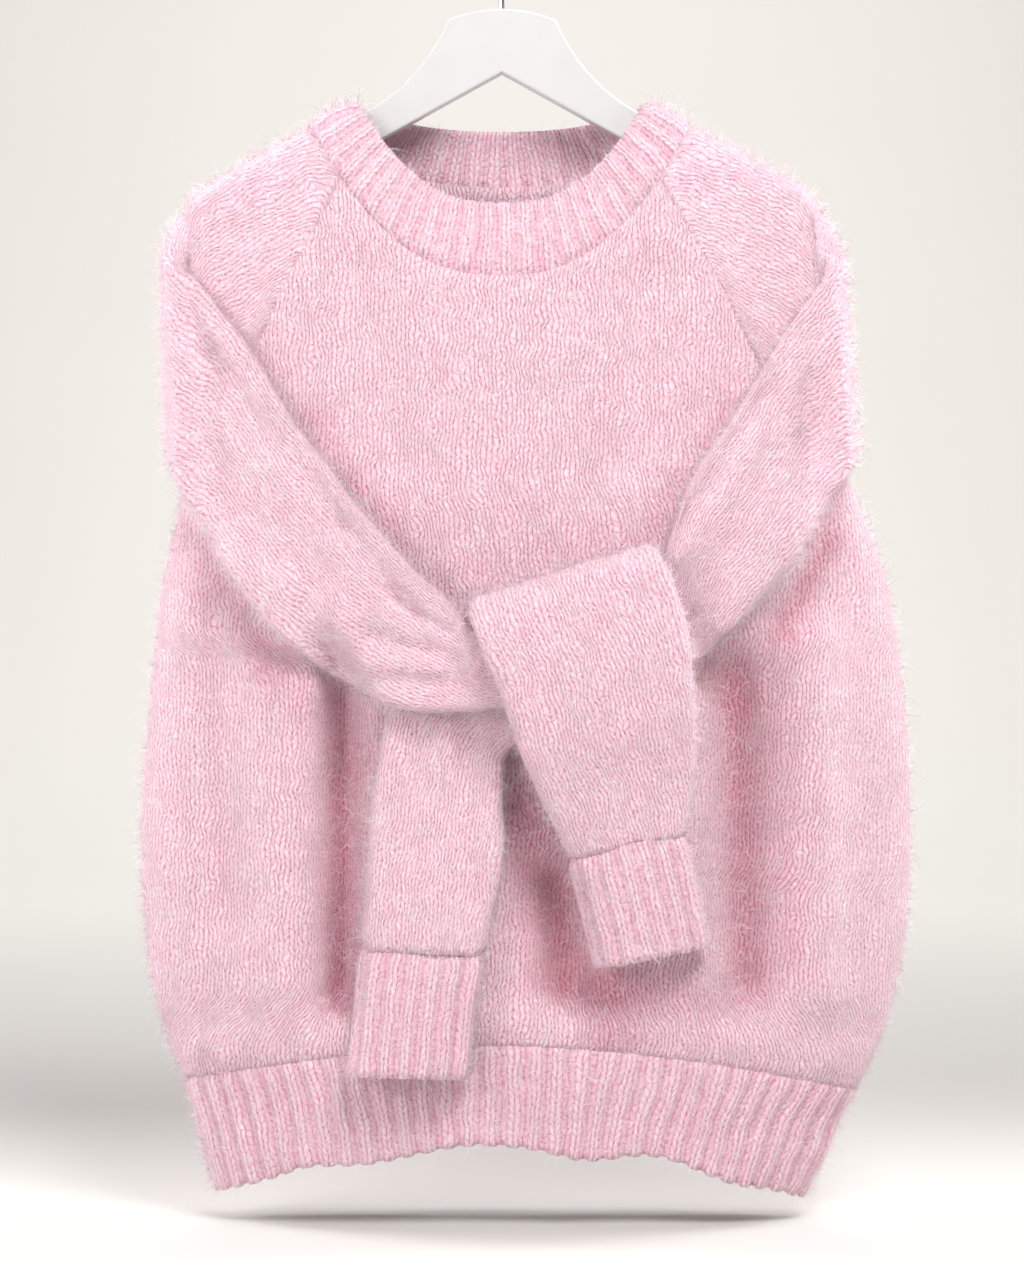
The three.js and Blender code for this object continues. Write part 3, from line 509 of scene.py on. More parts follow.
def hem_panel(name, side, rows):
    columns = RIBS_ACROSS_HEM * POINTS_PER_RIB
    middle = (HEM_SEAM["left"] + HEM_EDGE["left"]) / 2

    def across_at(t):
        return np.sin((t - 0.5) * np.pi)

    stops = even_stops(lambda t: on_body(across_at(t) * half_width(across_at(t), middle),
                                         middle + 0 * t, side), columns)
    rise, stop = np.meshgrid(np.linspace(0, 1, rows + 1), stops, indexing="ij")
    across = across_at(stop)
    top = hem_height(HEM_SEAM, across) + TUCK
    ribs = np.broadcast_to(np.arange(columns + 1) / POINTS_PER_RIB, top.shape)
    ribs = uneven_ribs(ribs, RIBS_ACROSS_HEM, rise, 0.09)
    profile = rib_profile(ribs)
    waves = fold_height(across, 0 * across, HEM_WAVES)
    edge = hem_height(HEM_EDGE, across) + waves - HEM_SCALLOP * profile
    z = top + (edge - top) * rise
    surface = panel_surface(across * half_width(across, z), z, side)
    away = outwards(surface)
    ends = np.minimum(1, np.minimum(stop, 1 - stop) * 60)
    soft = rumple(surface, 0.7) * ends - 1.9 * bell(rise * 55)
    swell = RIB_HEIGHT * profile * (0.75 + 0.25 * np.sin(np.pi * rise)) * ends * step_up(rise, 0.01, 0.1)
    outer = surface + away * (swell + soft)[..., None]
    inner = surface + away * (soft - CLOTH + INNER_RIB * profile)[..., None]
    round_rim(outer, inner, -1, -2)
    stitches = np.stack([2 * ribs, z / COURSE], -1)
    return make_wall(name, outer, inner, False, stitches)


hem_front = hem_panel("hem_front_rib", FRONT, 24)
hem_back = hem_panel("hem_back_rib", BACK, 18)

# %% Neckband
NECK_PUFF = 2.4
NECK_START = -0.045


def neckband_ring(name, rows):
    columns = RIBS_ROUND_NECK * POINTS_PER_RIB

    def point_at(turn, rise):
        angle = turn * 2 * np.pi
        seam_x, seam_z, side = neck_point(NECK_SEAM, angle)
        edge_x, edge_z, _ = neck_point(NECK_EDGE, angle)
        return on_body(seam_x + (edge_x - seam_x) * rise, seam_z + (edge_z - seam_z) * rise, side)

    stops = even_stops(lambda t: point_at(t, 0.5), columns)[:-1]
    rises = NECK_START + (1 - NECK_START) * np.linspace(0, 1, rows + 1)
    rise, stop = np.meshgrid(rises, stops, indexing="ij")
    surface = point_at(stop, rise)
    away = outwards(surface)
    ribs = np.broadcast_to(np.arange(columns) / POINTS_PER_RIB, rise.shape)
    ribs = uneven_ribs(ribs, RIBS_ROUND_NECK, rise, 0.05)
    profile = rib_profile(ribs)
    puff = NECK_PUFF * np.sin(np.pi * np.maximum(0, rise))
    swell = RIB_HEIGHT * profile * step_up(rise, 0.0, 0.11)
    tucked = 2.4 * (1 - step_up(rise, NECK_START, 0.06))
    outer = surface + away * (puff + swell - tucked)[..., None]
    relief = step_up(rise, NECK_START, 0.12)
    inside = puff - CLOTH + 0.8 * (1 - relief) - (1.0 - 1.5 * profile) * relief
    inner = surface + away * inside[..., None]
    round_rim(outer, inner, -1, -2)
    lengths = arc_lengths(surface, 0) / COURSE
    closing = np.concatenate([ribs, ribs[:, :1] + RIBS_ROUND_NECK], 1)
    stitches = np.stack([2 * closing, wrapped(lengths)], -1)
    return make_wall(name, outer, inner, True, stitches)


neckband = neckband_ring("neckband_rib", 20)

# %% [markdown]
# ## Sleeves
# A sleeve that hangs empty is a flat tube. Each one starts as a ring round its armhole, rolls over the
# shoulder, folds forward down its outer edge, and runs across the front. It is described by flat sections:
# the places of its two edges, how far it stands off the body, its half thickness, and which way its outer
# side faces (180 over the shoulder, 90 on the outer fold, 0 across the front). A smooth curve runs through
# every point of the rings, and the stitches' columns run along it, as a sleeve is knitted.
# Columns: x1, z1, x2, z2, y1, y2, half thickness, half at the lower edge, turn, steps.

# %% Tables of sleeve sections


def lying(rows, steps=2, turn=0):
    """Rows of x1, z1, x2, z2, lift, half thickness, half at the lower edge, for a sleeve on the body."""
    return [(*ends, lift, None, half, low, turn, steps) for *ends, lift, half, low in rows]


RIGHT_SLEEVE = [
    (-198, -196, -207, -360, 0, 0, 15, 14, 180, 1), (-208, -213, -209, -368, -3, -6, 12, 11, 140, 1),
    (-214, -231, -205, -379, -9, -18, 6, 8, 95, 1), (-209, -242, -201, -391, -19, -29, 4.5, 8, 45, 1),
] + lying([
    (-196, -254, -191, -411, 0.3, 4.2, 8), (-168, -288, -164, -455, 2, 7.5, 9),
    (-137, -338, -130, -491, 2, 9, 9), (-109, -376, -100, -511, 4, 8.5, 8.5),
    (-78, -415, -72, -526, 13, 7.5, 7.5), (-55, -440, -46, -531, 19, 7, 7),
    (-32, -460, -22, -530, 23, 6, 6), (-14, -479, 4, -526, 24.5, 6, 6),
    (48, -482, 58, -518, 24.5, 5.5, 5.5),
])
LEFT_SLEEVE = [
    (199, -196, 215.5, -357, 0, -1, 15, 14, 180, 1), (209, -215, 219, -363, -3, -9, 12, 11, 140, 1),
    (215, -235, 221, -373, -9, -21, 6, 8, 95, 1), (210, -248, 217, -382, -19, -31, 4.5, 8, 45, 1),
] + lying([
    (199, -263, 207, -400, 0.3, 4.2, 8), (177, -293, 185, -436, 2, 7.5, 9),
    (146, -344, 155, -468, 2, 9, 9), (117, -388, 133, -490, 6, 8, 8),
]) + lying([(106, -420, 119, -502, 10, 6, 6)], 1) + lying([
    (94, -450, 100, -512, 11, 5.5, 5.5), (34, -468, 62, -528, 11, 5.5, 5.5),
    (-26, -486, 26, -540, 10.5, 5.5, 5.5), (-66, -518, 4, -558, 4, 6, 6),
    (-80, -571, 2, -583, 3, 7.5, 7.5), (-86, -628, 0, -632, 4, 8.5, 8.5),
    (-89, -680, -12, -683, 5, 8, 8),
])
RIGHT_SLEEVE_END = lying([
    (-8, -494, 72, -480, 1.5, 4.2, 4.2), (-14, -476, 76, -452, 1.5, 4.4, 4.4),
], 1, 180) + [
    (-18, -468, 84, -436, -58, -58, 5, 5, 140, 1), (-21, -465, 95, -429, -73, -73, 6, 6, 90, 1),
    (-21, -470, 101, -436, -88, -88, 6.5, 6.5, 40, 1),
] + lying([
    (-16, -482, 109, -452, 38, 7, 7), (-4, -510, 117, -484, 38, 7.5, 7.5),
    (8, -545, 121, -528, 33, 8, 8), (24, -584, 122, -570, 22, 8.5, 8.5),
    (43, -622, 115, -607, 14, 8, 8),
])
RIGHT_CUFF = lying([(43, -622, 115, -607, 14, 8, 8), (50, -650, 122, -637, 11, 9, 9),
                    (60, -690, 131, -676, 8, 9, 9)])
LEFT_CUFF = lying([(-89, -680, -12, -683, 5, 8, 8), (-92, -716, -18, -718, 5, 9, 9),
                   (-96, -758, -22, -760, 6.5, 9, 9)])

# %% [markdown]
# The sleeves have folds of their own: a long shallow valley below the upper edge, where the empty tube
# collapses, and short puckers where the cloth is drawn into the half knot.

# %% Tables of sleeve folds: x1, z1, x2, z2, width, height, on the side that faces forwards
RIGHT_SLEEVE_FOLDS = [
    (-186, -300, -104, -412, 9, -4.8), (-104, -412, -58, -466, 7.5, -5.0),
    (-196, -268, -128, -372, 8, 2.4),
    (-150, -372, -84, -448, 12, 3.4), (-160, -440, -70, -505, 16, 2.8), (-78, -452, -34, -480, 5, -4.4),
    (-86, -482, -28, -496, 6, -5.2), (-74, -508, -24, -511, 5, -3.8), (-96, -498, -40, -504, 6, 2.4),
    (-122, -470, -92, -492, 8, -3.0), (-180, -380, -140, -430, 14, -2.6),
    (-203, -264, -188, -322, 8, -4.6),
]
LEFT_SLEEVE_FOLDS = [
    (172, -326, 118, -412, 8, -4.6), (186, -360, 128, -446, 11, -3.4), (196, -404, 138, -474, 9, 2.6),
    (128, -402, 110, -436, 5, 3.2), (120, -470, 104, -484, 5, -3.8), (196, -300, 140, -390, 9, 2.4),
    (-18, -545, -40, -610, 10, -4.2), (-52, -552, -66, -640, 9, -3.6), (-4, -566, -10, -650, 7, 2.4),
    (-34, -600, -46, -676, 14, 3.0),
]
RIGHT_END_FOLDS = [
    (4, -470, 24, -520, 8, -3.6), (60, -446, 72, -520, 14, -4.0), (88, -450, 104, -560, 9, 3.0),
    (30, -500, 52, -590, 13, 3.2), (70, -540, 84, -606, 11, -3.4), (-12, -476, 0, -505, 4, 2.2),
]

# %% Sections and rings
NECK_SHARE = 3 / 11
HALF_LOOP = 44
loop_down = np.concatenate([np.arange(HALF_LOOP + 1), np.arange(HALF_LOOP - 1, 0, -1)]) / HALF_LOOP
loop_sign = np.where(np.arange(2 * HALF_LOOP) <= HALF_LOOP, 1, -1)


def armhole(way):
    start = math.asin(RAGLAN_START)
    points = []
    for down, sign in zip(loop_down, loop_sign):
        side = BACK if sign > 0 else FRONT
        if down >= NECK_SHARE:
            x, z = raglan_point(raglan_share((down - NECK_SHARE) / (1 - NECK_SHARE)), way, side)
        else:
            angle = np.pi / 2 + (start - np.pi / 2) * down / NECK_SHARE
            x, z, _ = neck_point(NECK_SEAM, way * (angle if side == FRONT else np.pi - angle))
        point = on_body(np.float64(x), np.float64(z), side)
        if down in (0, 1):
            point[1] = 0
        points.append(point)
    return np.array(points)


def section_ring(row, fold):
    x1, z1, x2, z2, y1, y2, half_high, half_low, turn, _ = row
    length = math.hypot(x2 - x1, z2 - z1)
    outer = np.array([0, -math.cos(math.radians(turn)), 0]) + np.array(fold) * math.sin(math.radians(turn))
    across = np.cos(np.pi * loop_down) * 0.75 + (1 - 2 * loop_down) * 0.25
    down = (1 - across) / 2
    half = half_high + (half_low - half_high) * down
    x, z = x1 + (x2 - x1) * down, z1 + (z2 - z1) * down
    y = -(depth_at(x, z, FRONT) + y1 + half) if y2 is None else y1 + (y2 - y1) * down
    inside = np.minimum(half, (1 - np.abs(across)) * length / 2)
    bulge = np.sqrt(half * half - (half - inside) ** 2) * loop_sign
    return np.stack([x, y, z], 1) + bulge[:, None] * outer


def smooth_rings(rings, steps):
    """Rings on smooth curves through the stated rings, with the number of steps after each."""
    rings = [2 * rings[0] - rings[1], *rings, 2 * rings[-1] - rings[-2]]
    made = []
    for r in range(1, len(rings) - 2):
        p0, p1, p2, p3 = rings[r - 1:r + 3]
        d0, d1, d2 = (np.maximum(np.linalg.norm(b - a, axis=1, keepdims=True), 1e-4) ** 0.5
                      for a, b in ((p0, p1), (p1, p2), (p2, p3)))
        m1 = ((p1 - p0) / d0 - (p2 - p0) / (d0 + d1) + (p2 - p1) / d1) * d1
        m2 = ((p2 - p1) / d1 - (p3 - p1) / (d1 + d2) + (p3 - p2) / d2) * d1
        for k in range(steps[r - 1]):
            t = k / steps[r - 1]
            made.append(p1 + m1 * t + (3 * (p2 - p1) - 2 * m1 - m2) * t ** 2
                        + (2 * (p1 - p2) + m1 + m2) * t ** 3)
    made.append(rings[-2])
    return np.array(made)


def outward_normals(grid):
    normals = grid_normals(grid, True)
    centres = grid.mean(axis=1, keepdims=True)
    if np.einsum("ijk,ijk->", normals, grid - centres) < 0:
        normals = -normals
    return normals


def within_section(directions, ring):
    square = unit(np.cross(ring[0] - ring[HALF_LOOP], [0, 1, 0]))
    return unit(directions - (directions @ square)[:, None] * square)


# %% Sleeve tubes
RING_STEPS = 5
SEAM_RISE, UNDERARM_CLEAR, SEAM_UNDER = 4, 4.5, 1.5
TOP_ROUND, NARROWING = 300, 0.45


def square_map(rings):
    """Columns of stitches counted from the upper edge and rows along the tube, square to each other."""
    centres = rings.mean(axis=1)
    run = np.pad(np.gradient(centres, axis=0), ((4, 4), (0, 0)), mode="edge")
    run = unit(sum(run[k:k + len(rings)] for k in range(9)))[:, None]
    rings = wrapped(rings)
    steps = np.diff(rings, axis=1)
    steps = steps - (steps * run).sum(-1, keepdims=True) * run
    around = np.cumsum(np.linalg.norm(steps, axis=-1), axis=1)
    around = np.concatenate([0 * around[:, :1], around], 1)
    whole = around[:, -1:]
    wales = TOP_ROUND ** NARROWING * whole ** (1 - NARROWING) / WALE
    across = (around - around[:, HALF_LOOP:HALF_LOOP + 1]) / whole * wales
    along = arc_lengths(centres, 0)[:, None] + ((rings - centres[:, None]) * run).sum(-1)
    return np.stack([across, -along / COURSE], -1)


def sleeve_tube(name, rings, folds, meets_body):
    rings = np.roll(rings, -HALF_LOOP, axis=1)
    normals = outward_normals(rings)
    normals[0] = outwards(rings[0]) if meets_body else within_section(normals[0], rings[0])
    normals[-1] = within_section(normals[-1], rings[-1])
    forwards = step_up(-normals[..., 1], 0.1, 0.75)
    creased = fold_height(rings[..., 0], rings[..., 2], folds) * forwards
    from_seam = arc_lengths(rings, 0)
    lift = creased + rumple(rings, 0.8) * np.minimum(1, from_seam / 20)
    to_end = from_seam[-1:] - from_seam
    if meets_body:
        lift = lift + seam_lift(from_seam - SEAM_UNDER) - 2.2 * bell(from_seam / 1.2)
    lift = lift + 0.3 * bell((to_end - 9) / 7) - 0.7 * bell(to_end / 5)
    outer = rings + normals * lift[..., None]
    inner = rings + normals * (np.minimum(lift, lift * 0.7) - CLOTH)[..., None]
    return make_wall(name, outer, inner, True, square_map(rings))


def whole_sleeve(name, way, table, folds):
    seam = armhole(way)
    along = np.roll(seam, -1, axis=0) - np.roll(seam, 1, axis=0)
    away = unit(np.cross(outwards(seam), along))
    away = np.where((away @ [way, 0, 0.6])[:, None] < 0, -away, away)
    near_underarm = np.maximum(0, (loop_down - NECK_SHARE) / (1 - NECK_SHARE))[:, None] ** 2
    risen = seam + outwards(seam) * UNDERARM_CLEAR * near_underarm + away * SEAM_RISE
    seam = seam - away * SEAM_UNDER * (1 - near_underarm)
    stated = [seam, risen] + [section_ring(row, (way, 0, 0)) for row in table]
    steps = [n * RING_STEPS for n in [1, 4] + [row[-1] for row in table]]
    return sleeve_tube(name, smooth_rings(stated, steps), folds, True)


sleeve_right = whole_sleeve("sleeve_right_knit", -1, RIGHT_SLEEVE, RIGHT_SLEEVE_FOLDS)
sleeve_left = whole_sleeve("sleeve_left_knit", 1, LEFT_SLEEVE, LEFT_SLEEVE_FOLDS)
end_rings = [section_ring(row, (0, 0, 1)) for row in RIGHT_SLEEVE_END]
end_steps = [row[-1] * RING_STEPS for row in RIGHT_SLEEVE_END]
sleeve_end = sleeve_tube("sleeve_right_end_knit", smooth_rings(end_rings, end_steps),
                         RIGHT_END_FOLDS, False)

# %% [markdown]
# ## Cuffs
# A cuff is a short ribbed tube at the end of a flat sleeve. Its points are spread evenly round the flat
# section, so that the ribs keep their width round the two edges.

# %% Cuffs
CUFF_OVER = 0.3


def cuff_tube(name, table, steps):
    columns = RIBS_ROUND_CUFF * POINTS_PER_RIB

    def ring_at(row, inset, ribbed):
        x1, z1, x2, z2, lift, _, full, _, _, _ = row
        length, half = math.hypot(x2 - x1, z2 - z1), full - inset
        flat = length / 2 - full

        def round_section(t):
            angle = np.asarray(t) * 2 * np.pi
            middle = np.sign(np.cos(angle)) * flat * np.minimum(1, np.abs(np.cos(angle)) * 1.5)
            return np.stack([middle + half * np.cos(angle), half * np.sin(angle)], -1)

        stops = even_stops(round_section, columns)[:-1]
        angle = stops * 2 * np.pi
        profile = rib_profile(np.arange(columns) / POINTS_PER_RIB) * ribbed
        section = round_section(stops) + profile[:, None] * np.stack([np.cos(angle), np.sin(angle)], -1)
        down = (1 - section[:, 0] / (length / 2)) / 2
        x, z = x1 + (x2 - x1) * down, z1 + (z2 - z1) * down
        level = -(depth_at(x, z, FRONT) + lift + full)
        return np.stack([x, level - section[:, 1], z], -1)

    each = [steps] * len(table)
    plain = smooth_rings([ring_at(row, -CUFF_OVER, 0) for row in table], each)
    outer = smooth_rings([ring_at(row, -CUFF_OVER, RIB_HEIGHT) for row in table], each)
    inner = smooth_rings([ring_at(row, CLOTH, INNER_RIB) for row in table], each)
    rise = np.linspace(0, 1, len(outer))[:, None, None]
    outer = plain + (outer - plain) * step_up(rise, 0.0, 0.13)
    for rings in (outer, inner):
        rings[0] -= unit(rings[1] - rings[0]) * TUCK
    outer -= outward_normals(outer) * (1.6 * bell(rise * 50) + 0.3 * np.sin(np.pi * rise))
    round_rim(outer, inner, -1, -2)
    lengths = arc_lengths(outer, 0).mean(axis=1, keepdims=True) / COURSE
    ribs = np.broadcast_to(np.arange(columns + 1) / POINTS_PER_RIB, (len(outer), columns + 1))
    stitches = np.stack([2 * ribs, lengths + 0 * ribs], -1)
    return make_wall(name, outer, inner, True, stitches)


cuff_right = cuff_tube("cuff_right_rib", RIGHT_CUFF, 12)
cuff_left = cuff_tube("cuff_left_rib", LEFT_CUFF, 12)

# %% [markdown]
# ## Materials in plain arithmetic
# A pattern such as knitting is easier to read as a formula than as a web of nodes. The small class below
# wraps a socket, so that adding or multiplying two sockets adds the Math node that does it. Colours and
# vectors have nodes of their own, because a Math node would turn them grey.

# %% A wrapper for shader sockets


class Wire:
    def __init__(self, tree, socket):
        self.tree, self.socket = tree, socket

    def math(self, operation, *others):
        node = self.tree.nodes.new("ShaderNodeMath")
        node.operation = operation
        for socket, value in zip(node.inputs, (self, *others)):
            plug(self.tree, socket, value)
        return Wire(self.tree, node.outputs[0])

    def __add__(self, other): return self.math("ADD", other)
    def __radd__(self, other): return self.math("ADD", other)
    def __sub__(self, other): return self.math("SUBTRACT", other)
    def __rsub__(self, other): return (self * -1) + other
    def __mul__(self, other): return self.math("MULTIPLY", other)
    def __rmul__(self, other): return self.math("MULTIPLY", other)
    def __pow__(self, other): return self.math("POWER", other)


def plug(tree, socket, value):
    if isinstance(value, Wire):
        tree.links.new(value.socket, socket)
    else:
        socket.default_value = value


class Finish:
    """One material: its nodes are added by name, with settings first and then the values of sockets."""

    def __init__(self, name):
        self.material = bpy.data.materials.new(name)
        self.material.use_nodes = True
        self.tree = self.material.node_tree
        self.shader = self.tree.nodes["Principled BSDF"]

    def node(self, kind, settings=None, output=0, **sockets):
        node = self.tree.nodes.new("ShaderNode" + kind)
        for key, value in (settings or {}).items():
            setattr(node, key, value)
        for key, value in sockets.items():
            plug(self.tree, node.inputs[key.replace("_", " ")], value)
        return Wire(self.tree, node.outputs[output])

    def mix(self, factor, a, b, blend="MIX"):
        node = self.tree.nodes.new("ShaderNodeMix")
        node.data_type, node.blend_type = "RGBA", blend
        for index, value in ((0, factor), (6, a), (7, b)):
            plug(self.tree, node.inputs[index], value)
        return Wire(self.tree, node.outputs[2])

    def ramp(self, value, low, high):
        settings = {"interpolation_type": "SMOOTHSTEP"}
        return self.node("MapRange", settings, Value=value, From_Min=low, From_Max=high)

    def noise(self, places, scale, detail=2.0, roughness=0.5, distortion=0.0):
        return self.node("TexNoise", Vector=places, Scale=scale, Detail=detail,
                         Roughness=roughness, Distortion=distortion)

    def curls(self, places, scale, detail, distortion, width):
        """Thin lines that wander like loose threads, where a noise crosses its middle value."""
        crossing = (self.noise(places, scale, detail, 0.5, distortion) - 0.5).math("ABSOLUTE")
        return 1 - self.ramp(crossing, 0.0, width)

    def split(self, vector):
        node = self.tree.nodes.new("ShaderNodeSeparateXYZ")
        plug(self.tree, node.inputs[0], vector)
        return [Wire(self.tree, output) for output in node.outputs]

    def set(self, **values):
        for key, value in values.items():
            plug(self.tree, self.shader.inputs[key.replace("_", " ")], value)


def colour(red, green, blue):
    """A colour given as it looks on a screen, 0 to 255, as the shader's linear values."""
    def linear(c):
        c = c / 255
        return c / 12.92 if c <= 0.04045 else ((c + 0.055) / 1.055) ** 2.4
    return (linear(red), linear(green), linear(blue), 1.0)


# %% [markdown]
# ## The knitting
# In plain knitting each stitch shows as a V, and the legs of the Vs line up in columns. Across a column,
# the distance from its middle gives the two legs; shearing the rows by that distance makes them slant.
# The legs are round yarn, so their height drives a bump, and also a painted highlight on the crown of each
# leg and painted shade at its sides; painted shade darkens the small gaps between them. Each leg is a
# bundle of threads, so a noise stretched along the leg streaks it. Mohair is brushed: loose fibres blur
# the stitches and lie over them as fine pale curls, which a ridged noise gives. In ribbing every second
# column sinks back, is painted darker as shade in its recess, and shows the backs of stitches as small
# bars instead of Vs. Painted shade in the folds of both panels, and painted shadows where the sleeves and
# cuffs shade the front, multiply the colour towards a deeper pink.

# %% Mohair finishes
# Painted light in the knit: shade in the stitch gaps, shade at the yarn's sides and in sunk ribs,
# highlight on its crown.
GAP_SHADE_PINK = colour(192, 88, 124)
PAINTED_SHADE_PINK = colour(226, 146, 174)
MID_PINK = colour(244, 192, 211)
PAINTED_HIGHLIGHT_PINK = colour(252, 225, 235)
FIBRE_WHITE = colour(255, 246, 250)
# Painted shade in folds and painted shadows of the sleeves and cuffs, multiplied over the knit's colour.
PAINTED_SHADOW_TINT = colour(226, 186, 194)


def mohair(name, ribbed):
    finish = Finish(name)
    places = finish.node("TexCoord", output=3)
    u, v, _ = finish.split(finish.node("UVMap", {"uv_map": "stitches"}))
    if ribbed:
        wave = ((u * 0.5 - 0.25) * (2 * math.pi)).math("COSINE")
        raised = finish.ramp(wave, -0.8, 0.0)
    sway = finish.noise(places, 70, 3) - 0.5
    sway_too = finish.noise(places, 100, 3, distortion=0.8) - 0.5
    drift = finish.noise(places, 19, 1) - 0.5
    u = u + sway * (0.8 if ribbed else 1.7) + drift * (0.2 if ribbed else 1.2)
    v = v + sway_too * 2.4
    from_middle = ((u.math("FRACT") - 0.5).math("ABSOLUTE")) * 2
    leg = 1 - ((from_middle * 2 - 1) ** 2)
    slope = raised * 0.85 if ribbed else 0.85
    row = v - from_middle * slope
    along = 1 - ((row.math("FRACT") * 2 - 1).math("ABSOLUTE")) ** 2.5
    along_leg = finish.node("CombineXYZ", X=row * 4.5, Y=from_middle * 0.8, Z=u.math("FLOOR") * 3.7)
    threads_in_leg = finish.noise(along_leg, 1.0, 2, 0.6, 0.4)
    yarn = leg ** 0.7 * (along * 0.6 + 0.4) * (threads_in_leg * 1.1 + 0.45)
    patches = finish.noise(places, 38, 3)
    # Painted shade in the small gaps between the legs of the stitches.
    gap_shade = finish.ramp((1 - leg) * (1.15 - along), 0.3, 0.95) * finish.ramp(patches, 0.3, 0.6)
    curl_lines = finish.curls(places, 260, 2, 1.6, 0.055)
    fine_lines = finish.curls(places, 420, 1, 2.2, 0.05)
    cover = finish.ramp(finish.noise(places, 60, 2), 0.3, 0.7)
    threads = (curl_lines * 0.8 + fine_lines * 0.5) * (cover * 0.6 + 0.4)
    # Painted highlight on the crown of each leg of yarn, and painted shade at its sides.
    tone = finish.mix(finish.ramp(yarn, 0.1, 0.95), PAINTED_SHADE_PINK, PAINTED_HIGHLIGHT_PINK)
    tone = finish.mix(finish.ramp(patches, 0.4, 0.75) * 0.4, tone, MID_PINK)
    # The painted shade of the gaps darkens the tone here.
    tone = finish.mix(gap_shade * 0.85, tone, GAP_SHADE_PINK)
    # Painted shade in the sunk columns of the rib, which lie back in a recess.
    if ribbed:
        tone = finish.mix((1 - raised) * 0.4, tone, PAINTED_SHADE_PINK)
    tone = finish.mix(threads * 0.75, tone, FIBRE_WHITE)
    # Painted shade in the folds and painted shadows of the sleeves and cuffs, read from a value on the
    # mesh.
    painted_shade = finish.node("Attribute", {"attribute_name": "painted_shade"}, 2)
    tone = finish.mix(painted_shade, tone, PAINTED_SHADOW_TINT, "MULTIPLY")
    height = yarn + threads * 0.22 + finish.noise(places, 900, 2) * 0.25
    bump = finish.node("Bump", Height=height, Distance=0.0012, Strength=0.85)
    finish.set(Base_Color=tone, Roughness=0.92, Normal=bump, Sheen_Weight=0.85, Sheen_Roughness=0.45,
               Sheen_Tint=colour(255, 238, 244), Specular_IOR_Level=0.15)
    return finish.material


plain_knit = mohair("brushed mohair knit", False)
rib_knit = mohair("brushed mohair rib", True)
plain_pieces = [body_front, body_back, sleeve_right, sleeve_left, sleeve_end]
rib_pieces = [hem_front, hem_back, neckband, cuff_right, cuff_left]
for cloth in plain_pieces:
    cloth.piece.data.materials.append(plain_knit)
for cloth in rib_pieces:
    cloth.piece.data.materials.append(rib_knit)

# %% [markdown]
# ## The fluff
# What makes mohair look like mohair is the halo of loose fibres. Against the light at an edge they are
# seen one by one, so they are modelled: short straight hairs that stand up from the cloth, each a single
# narrow triangle, and long wisps that curl over it, each a narrow tapering ribbon. Hair particles could do
# this too, but plain meshes export as they are. Every hair starts just inside the outer surface, and
# borrows the cloth's own direction for its shading, so a lit patch of fluff is as bright as the cloth
# under it. Real fibres let light through, so the fluff throws no shadow. Edges and turned folds are rubbed
# more, so more hairs grow there.

# %% Where the hairs grow
BEHIND_SLEEVES, HIDDEN_SHARE, RUBBED_MORE, ROOT_DEPTH = -38, 0.08, 1.6, 0.4


def roots(cloth, count):
    """Places, outward directions and two directions along the cloth, spread evenly over its outside."""
    outer, away = cloth.outer, unit(cloth.outer - cloth.inner)
    if cloth.closed:
        outer, away = wrapped(outer), wrapped(away)
    a, b, c, d = outer[:-1, :-1], outer[:-1, 1:], outer[1:, :-1], outer[1:, 1:]
    area = np.linalg.norm(np.cross(b - a, c - a), axis=-1)
    facing_in = (away[:-1, :-1, 1] > 0.3) & (a[..., 1] < BEHIND_SLEEVES)
    rubbed = 1 + RUBBED_MORE * (1 - np.abs(away[:-1, :-1, 1])) ** 2
    share = (area * np.where(facing_in, HIDDEN_SHARE, rubbed)).ravel()
    cell = chance.choice(share.size, count, p=share / share.sum())
    s, t = chance.random((2, count, 1))
    a, b, c, d = (corner.reshape(-1, 3)[cell] for corner in (a, b, c, d))
    places = a * (1 - s) * (1 - t) + b * s * (1 - t) + c * (1 - s) * t + d * s * t
    out = away[:-1, :-1].reshape(-1, 3)[cell]
    first = unit(np.cross(out, unit(chance.normal(size=(count, 3)))))
    return places - out * ROOT_DEPTH, out, first, np.cross(out, first)


# %% Two kinds of hair
SHORT_WIDTH, WISP_WIDTH = 0.21, 0.26


def short_hairs(cloth, count):
    places, out, first, _ = roots(cloth, count)
    lean = chance.uniform(0.1, 1.25, (count, 1))
    length = chance.uniform(2.4, 6.4, (count, 1))
    direction = out * np.cos(lean) + first * np.sin(lean)
    half = unit(np.cross(direction, unit(chance.normal(size=(count, 3)) + out))) * SHORT_WIDTH / 2
    points = np.stack([places - half, places + half, places + direction * length], 1)
    faces = np.arange(3 * count).reshape(-1, 3)
    return points.reshape(-1, 3), faces, np.repeat(out, 3, axis=0)


